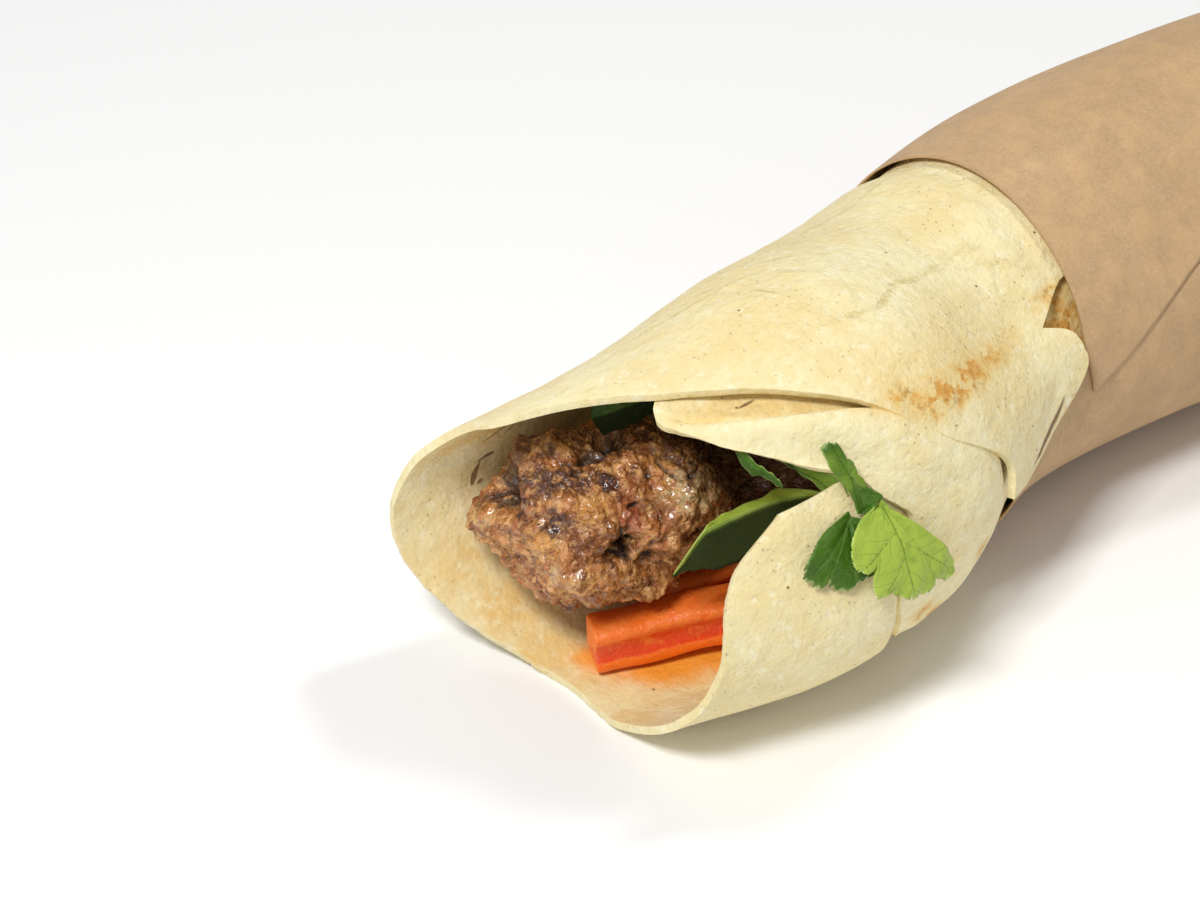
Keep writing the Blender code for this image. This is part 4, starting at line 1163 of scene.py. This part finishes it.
# ---------------------------------------------------------------- what a user may change
# Colours: key, what it is, red, green and blue.
COLOURS = (
    ("bread_white", "Floury highlights", (0.97, 0.91, 0.66)),
    ("bread_pale", "Palest tone of the flatbread", (0.92, 0.815, 0.49)),
    ("bread_cream", "Main tone of the flatbread", (0.87, 0.72, 0.37)),
    ("bread_shade", "Faint darker strokes", (0.77, 0.65, 0.31)),
    # Tone of the painted shade along the bread's creases.
    ("bread_crease_shade", "Greenish creases", (0.62, 0.5, 0.17)),
    # Golden blush, also the tone of the painted shade in that pocket.
    ("bread_gold_and_pocket_shade", "Golden blush", (0.82, 0.61, 0.25)),
    # Lightly baked tone, also the painted shade on the far wall under the lip.
    ("bread_tan_and_wall_shade", "Lightly baked tone", (0.8, 0.5, 0.13)),
    ("bread_toast", "Golden toasted tone", (0.66, 0.28, 0.035)),
    # Darkest toasted tone, also the painted shade inside the cracks.
    ("bread_char_and_crack_shade", "Darkest toasted tone", (0.2, 0.09, 0.03)),
    ("bread_speck", "Fine specks", (0.34, 0.26, 0.14)),
    ("juice", "Orange stain on the bread", (0.88, 0.36, 0.035)),
    ("paper_light", "Lighter paper tone", (0.63, 0.415, 0.215)),
    ("paper_brown", "Main paper tone", (0.53, 0.335, 0.155)),
    ("paper_dark", "Dark fibres", (0.36, 0.22, 0.11)),
    ("paper_pale", "Pale fibres", (0.74, 0.55, 0.35)),
    ("kofta_brown", "Main crust tone", (0.24, 0.072, 0.015)),
    ("kofta_tan", "Lighter crust tone", (0.53, 0.2, 0.052)),
    ("kofta_red", "Reddish meat", (0.4, 0.095, 0.045)),
    ("kofta_pale", "Pale crumbs", (0.86, 0.48, 0.19)),
    ("kofta_gold", "Golden crumbs", (0.72, 0.34, 0.085)),
    ("kofta_grey", "Greyish crumbs", (0.6, 0.45, 0.22)),
    # Charred tone, also the painted shade on the kofta's top lobes.
    ("kofta_char_and_shade", "Charred tone", (0.068, 0.026, 0.018)),
    # Tone of the painted shade in pits, grain gaps and deeper in the roll.
    ("kofta_hollow_shade", "Deep pits", (0.03, 0.012, 0.008)),
    ("tomato_flesh", "Cut flesh", (0.98, 0.185, 0.022)),
    ("tomato_pale", "Pale streaks in the flesh", (1, 0.245, 0.038)),
    ("tomato_wet", "Wet red groove", (0.86, 0.05, 0.004)),
    ("tomato_skin", "Bright skin edge", (1, 0.17, 0.002)),
    ("leaf_fresh", "Brightest leaf tone", (0.4, 0.53, 0.065)),
    ("leaf_mid", "Middle leaf tone", (0.058, 0.145, 0.008)),
    # Deep and darkest tones also serve as painted shade for leaves in shade and a hanging blade's lower
    # half.
    ("leaf_deep", "Deep leaf tone", (0.035, 0.1, 0.006)),
    ("leaf_dark", "Darkest leaf tone", (0.009, 0.018, 0.001)),
    # Pale tone for the vein net and the painted highlight along a leaf's rim.
    ("leaf_vein_and_rim_highlight", "Pale rim of a leaf", (0.55, 0.66, 0.22)),
    ("floor", "Pale floor", (0.97, 0.97, 0.965)),
)


class KoftaWrapSettings(PropertyGroup):
    """Size and light powers of the wrap; its colours join them from the table above."""

    bread_thickness: FloatProperty(name="Bread thickness", description="Thickness of the flatbread",
                                   default=BREAD, min=0.0008, max=0.003, unit="LENGTH", precision=4)
    key_power: FloatProperty(name="Key light", description="Power of the key light in watts",
                             default=5.9, min=0.0)
    fill_power: FloatProperty(name="Top light", description="Power of the top light in watts",
                              default=2.4, min=0.0)


for key, description, default in COLOURS:
    KoftaWrapSettings.__annotations__[key] = FloatVectorProperty(
        name=key.replace("_", " ").capitalize(), description=description, default=default,
        size=3, subtype="COLOR", min=0.0, max=1.0)


# ---------------------------------------------------------------- operators
class KOFTA_WRAP_OT_flatbread(Operator):
    """Make the rolled flatbread and its middle layer"""

    bl_idname = "kofta_wrap.flatbread"
    bl_label = "Flatbread"

    def execute(self, context):
        settings = context.scene.kofta_wrap
        finishes = [bread_finish("bread_outside", settings, False),
                    bread_finish("bread_inside", settings, True)]
        finish_piece(make_main_sheet(settings.bread_thickness), finishes, "flatbread", "flatbread")
        finish_piece(make_middle_sheet(settings.bread_thickness), finishes, "flatbread", "flatbread")
        return {"FINISHED"}


class KOFTA_WRAP_OT_paper(Operator):
    """Make the kraft paper sleeve"""

    bl_idname = "kofta_wrap.paper"
    bl_label = "Paper sleeve"

    def execute(self, context):
        finishes = [paper_finish(context.scene.kofta_wrap)]
        finish_piece(make_paper_sheet(), finishes, "kraft_paper", "paper_sleeve")
        return {"FINISHED"}


class KOFTA_WRAP_OT_kofta(Operator):
    """Make the kofta and its crumbs"""

    bl_idname = "kofta_wrap.kofta"
    bl_label = "Kofta"

    def execute(self, context):
        finishes = [kofta_finish(context.scene.kofta_wrap)]
        finish_piece(make_kofta_mesh("kofta_meat"), finishes, "kofta", "kofta")
        finish_piece(make_crumbs("kofta_crumbs", CRUMBS), finishes, "kofta", "kofta")
        return {"FINISHED"}


class KOFTA_WRAP_OT_tomato(Operator):
    """Make the tomato strips"""

    bl_idname = "kofta_wrap.tomato"
    bl_label = "Tomato"

    def execute(self, context):
        finishes = [tomato_finish(context.scene.kofta_wrap)]
        for name, node, start, end, bow in TOMATO_STRIPS:
            finish_piece(make_strip(name, start, end, bow), finishes, "tomato", node)
        return {"FINISHED"}


class KOFTA_WRAP_OT_parsley(Operator):
    """Make the parsley leaves"""

    bl_idname = "kofta_wrap.parsley"
    bl_label = "Parsley"

    def execute(self, context):
        settings = context.scene.kofta_wrap
        shades = {shade: leaf_finish(f"parsley_{shade}", settings, shade)
                  for shade in ("fresh", "mid", "deep")}
        for name, node, shade, foot, outline, ribs in FAN_LEAVES:
            finish_piece(make_fan_leaf(name, foot, outline, ribs), [shades[shade]], "parsley", node)
        for name, node, shade, *rails in CURLED_LEAVES:
            finish_piece(make_rail_leaf(name, rails, True), [shades[shade]], "parsley", node)
        for name, node, shade, *rails in HANGING_LEAVES:
            finish_piece(make_rail_leaf(name, rails, False), [shades[shade]], "parsley", node)
        return {"FINISHED"}


class KOFTA_WRAP_OT_stage(Operator):
    """Make the floor, the lights and the camera"""

    bl_idname = "kofta_wrap.stage"
    bl_label = "Stage"

    def execute(self, context):
        scene = context.scene
        settings = scene.kofta_wrap
        bpy.ops.object.select_all(action="DESELECT")
        bpy.ops.mesh.primitive_plane_add(size=FLOOR_SIZE, location=FLOOR_PLACE)
        floor = newly_added("floor")
        floor.data.materials.append(floor_finish(settings))

        camera = bpy.data.objects.new("camera", bpy.data.cameras.new("camera"))
        scene.collection.objects.link(camera)
        camera.data.lens = CAMERA_LENS
        camera.data.sensor_width = CAMERA_SENSOR
        camera.data.sensor_fit = "HORIZONTAL"
        camera.data.clip_start = NEAR_CLIP
        turned = Matrix((CAMERA_RIGHT, CAMERA_UP, CAMERA_BACK)).transposed().to_4x4()
        camera.matrix_world = Matrix.Translation(Vector(CAMERA_PLACE) - Vector(CENTRE)) @ turned
        scene.camera = camera

        for name, place, size, power in LIGHTS:
            lamp = bpy.data.lights.new(name, "AREA")
            lamp.energy = getattr(settings, power)
            lamp.size = size
            thing = bpy.data.objects.new(name, lamp)
            scene.collection.objects.link(thing)
            thing.location = place
            thing.rotation_euler = (Vector(place) - Vector(LIGHT_AIM)).to_track_quat("Z", "Y").to_euler()

        world = scene.world or bpy.data.worlds.new("studio")
        scene.world = world
        world.use_nodes = True
        sky = world.node_tree.nodes["Background"]
        sky.inputs["Color"].default_value = (1.0, 1.0, 1.0, 1.0)
        sky.inputs["Strength"].default_value = SKY_STRENGTH
        scene.view_settings.view_transform = "Standard"
        return {"FINISHED"}


class KOFTA_WRAP_PT_panel(Panel):
    """Buttons and settings of the wrap"""

    bl_label = "Kofta Wrap"
    bl_idname = "KOFTA_WRAP_PT_panel"
    bl_space_type = "VIEW_3D"
    bl_region_type = "UI"
    bl_category = "Kofta Wrap"

    def draw(self, context):
        for operator in OPERATORS:
            self.layout.operator(operator.bl_idname)
        for name in KoftaWrapSettings.__annotations__:
            self.layout.prop(context.scene.kofta_wrap, name)


OPERATORS = (
    KOFTA_WRAP_OT_flatbread,
    KOFTA_WRAP_OT_paper,
    KOFTA_WRAP_OT_kofta,
    KOFTA_WRAP_OT_tomato,
    KOFTA_WRAP_OT_parsley,
    KOFTA_WRAP_OT_stage,
)
CLASSES = (KoftaWrapSettings, *OPERATORS, KOFTA_WRAP_PT_panel)


def register():
    for kind in CLASSES:
        bpy.utils.register_class(kind)
    bpy.types.Scene.kofta_wrap = PointerProperty(type=KoftaWrapSettings)


def unregister():
    del bpy.types.Scene.kofta_wrap
    for kind in reversed(CLASSES):
        bpy.utils.unregister_class(kind)


def main():
    register()
    bpy.ops.kofta_wrap.flatbread()
    bpy.ops.kofta_wrap.paper()
    bpy.ops.kofta_wrap.kofta()
    bpy.ops.kofta_wrap.tomato()
    bpy.ops.kofta_wrap.parsley()
    bpy.ops.kofta_wrap.stage()


if __name__ == "__main__":
    main()
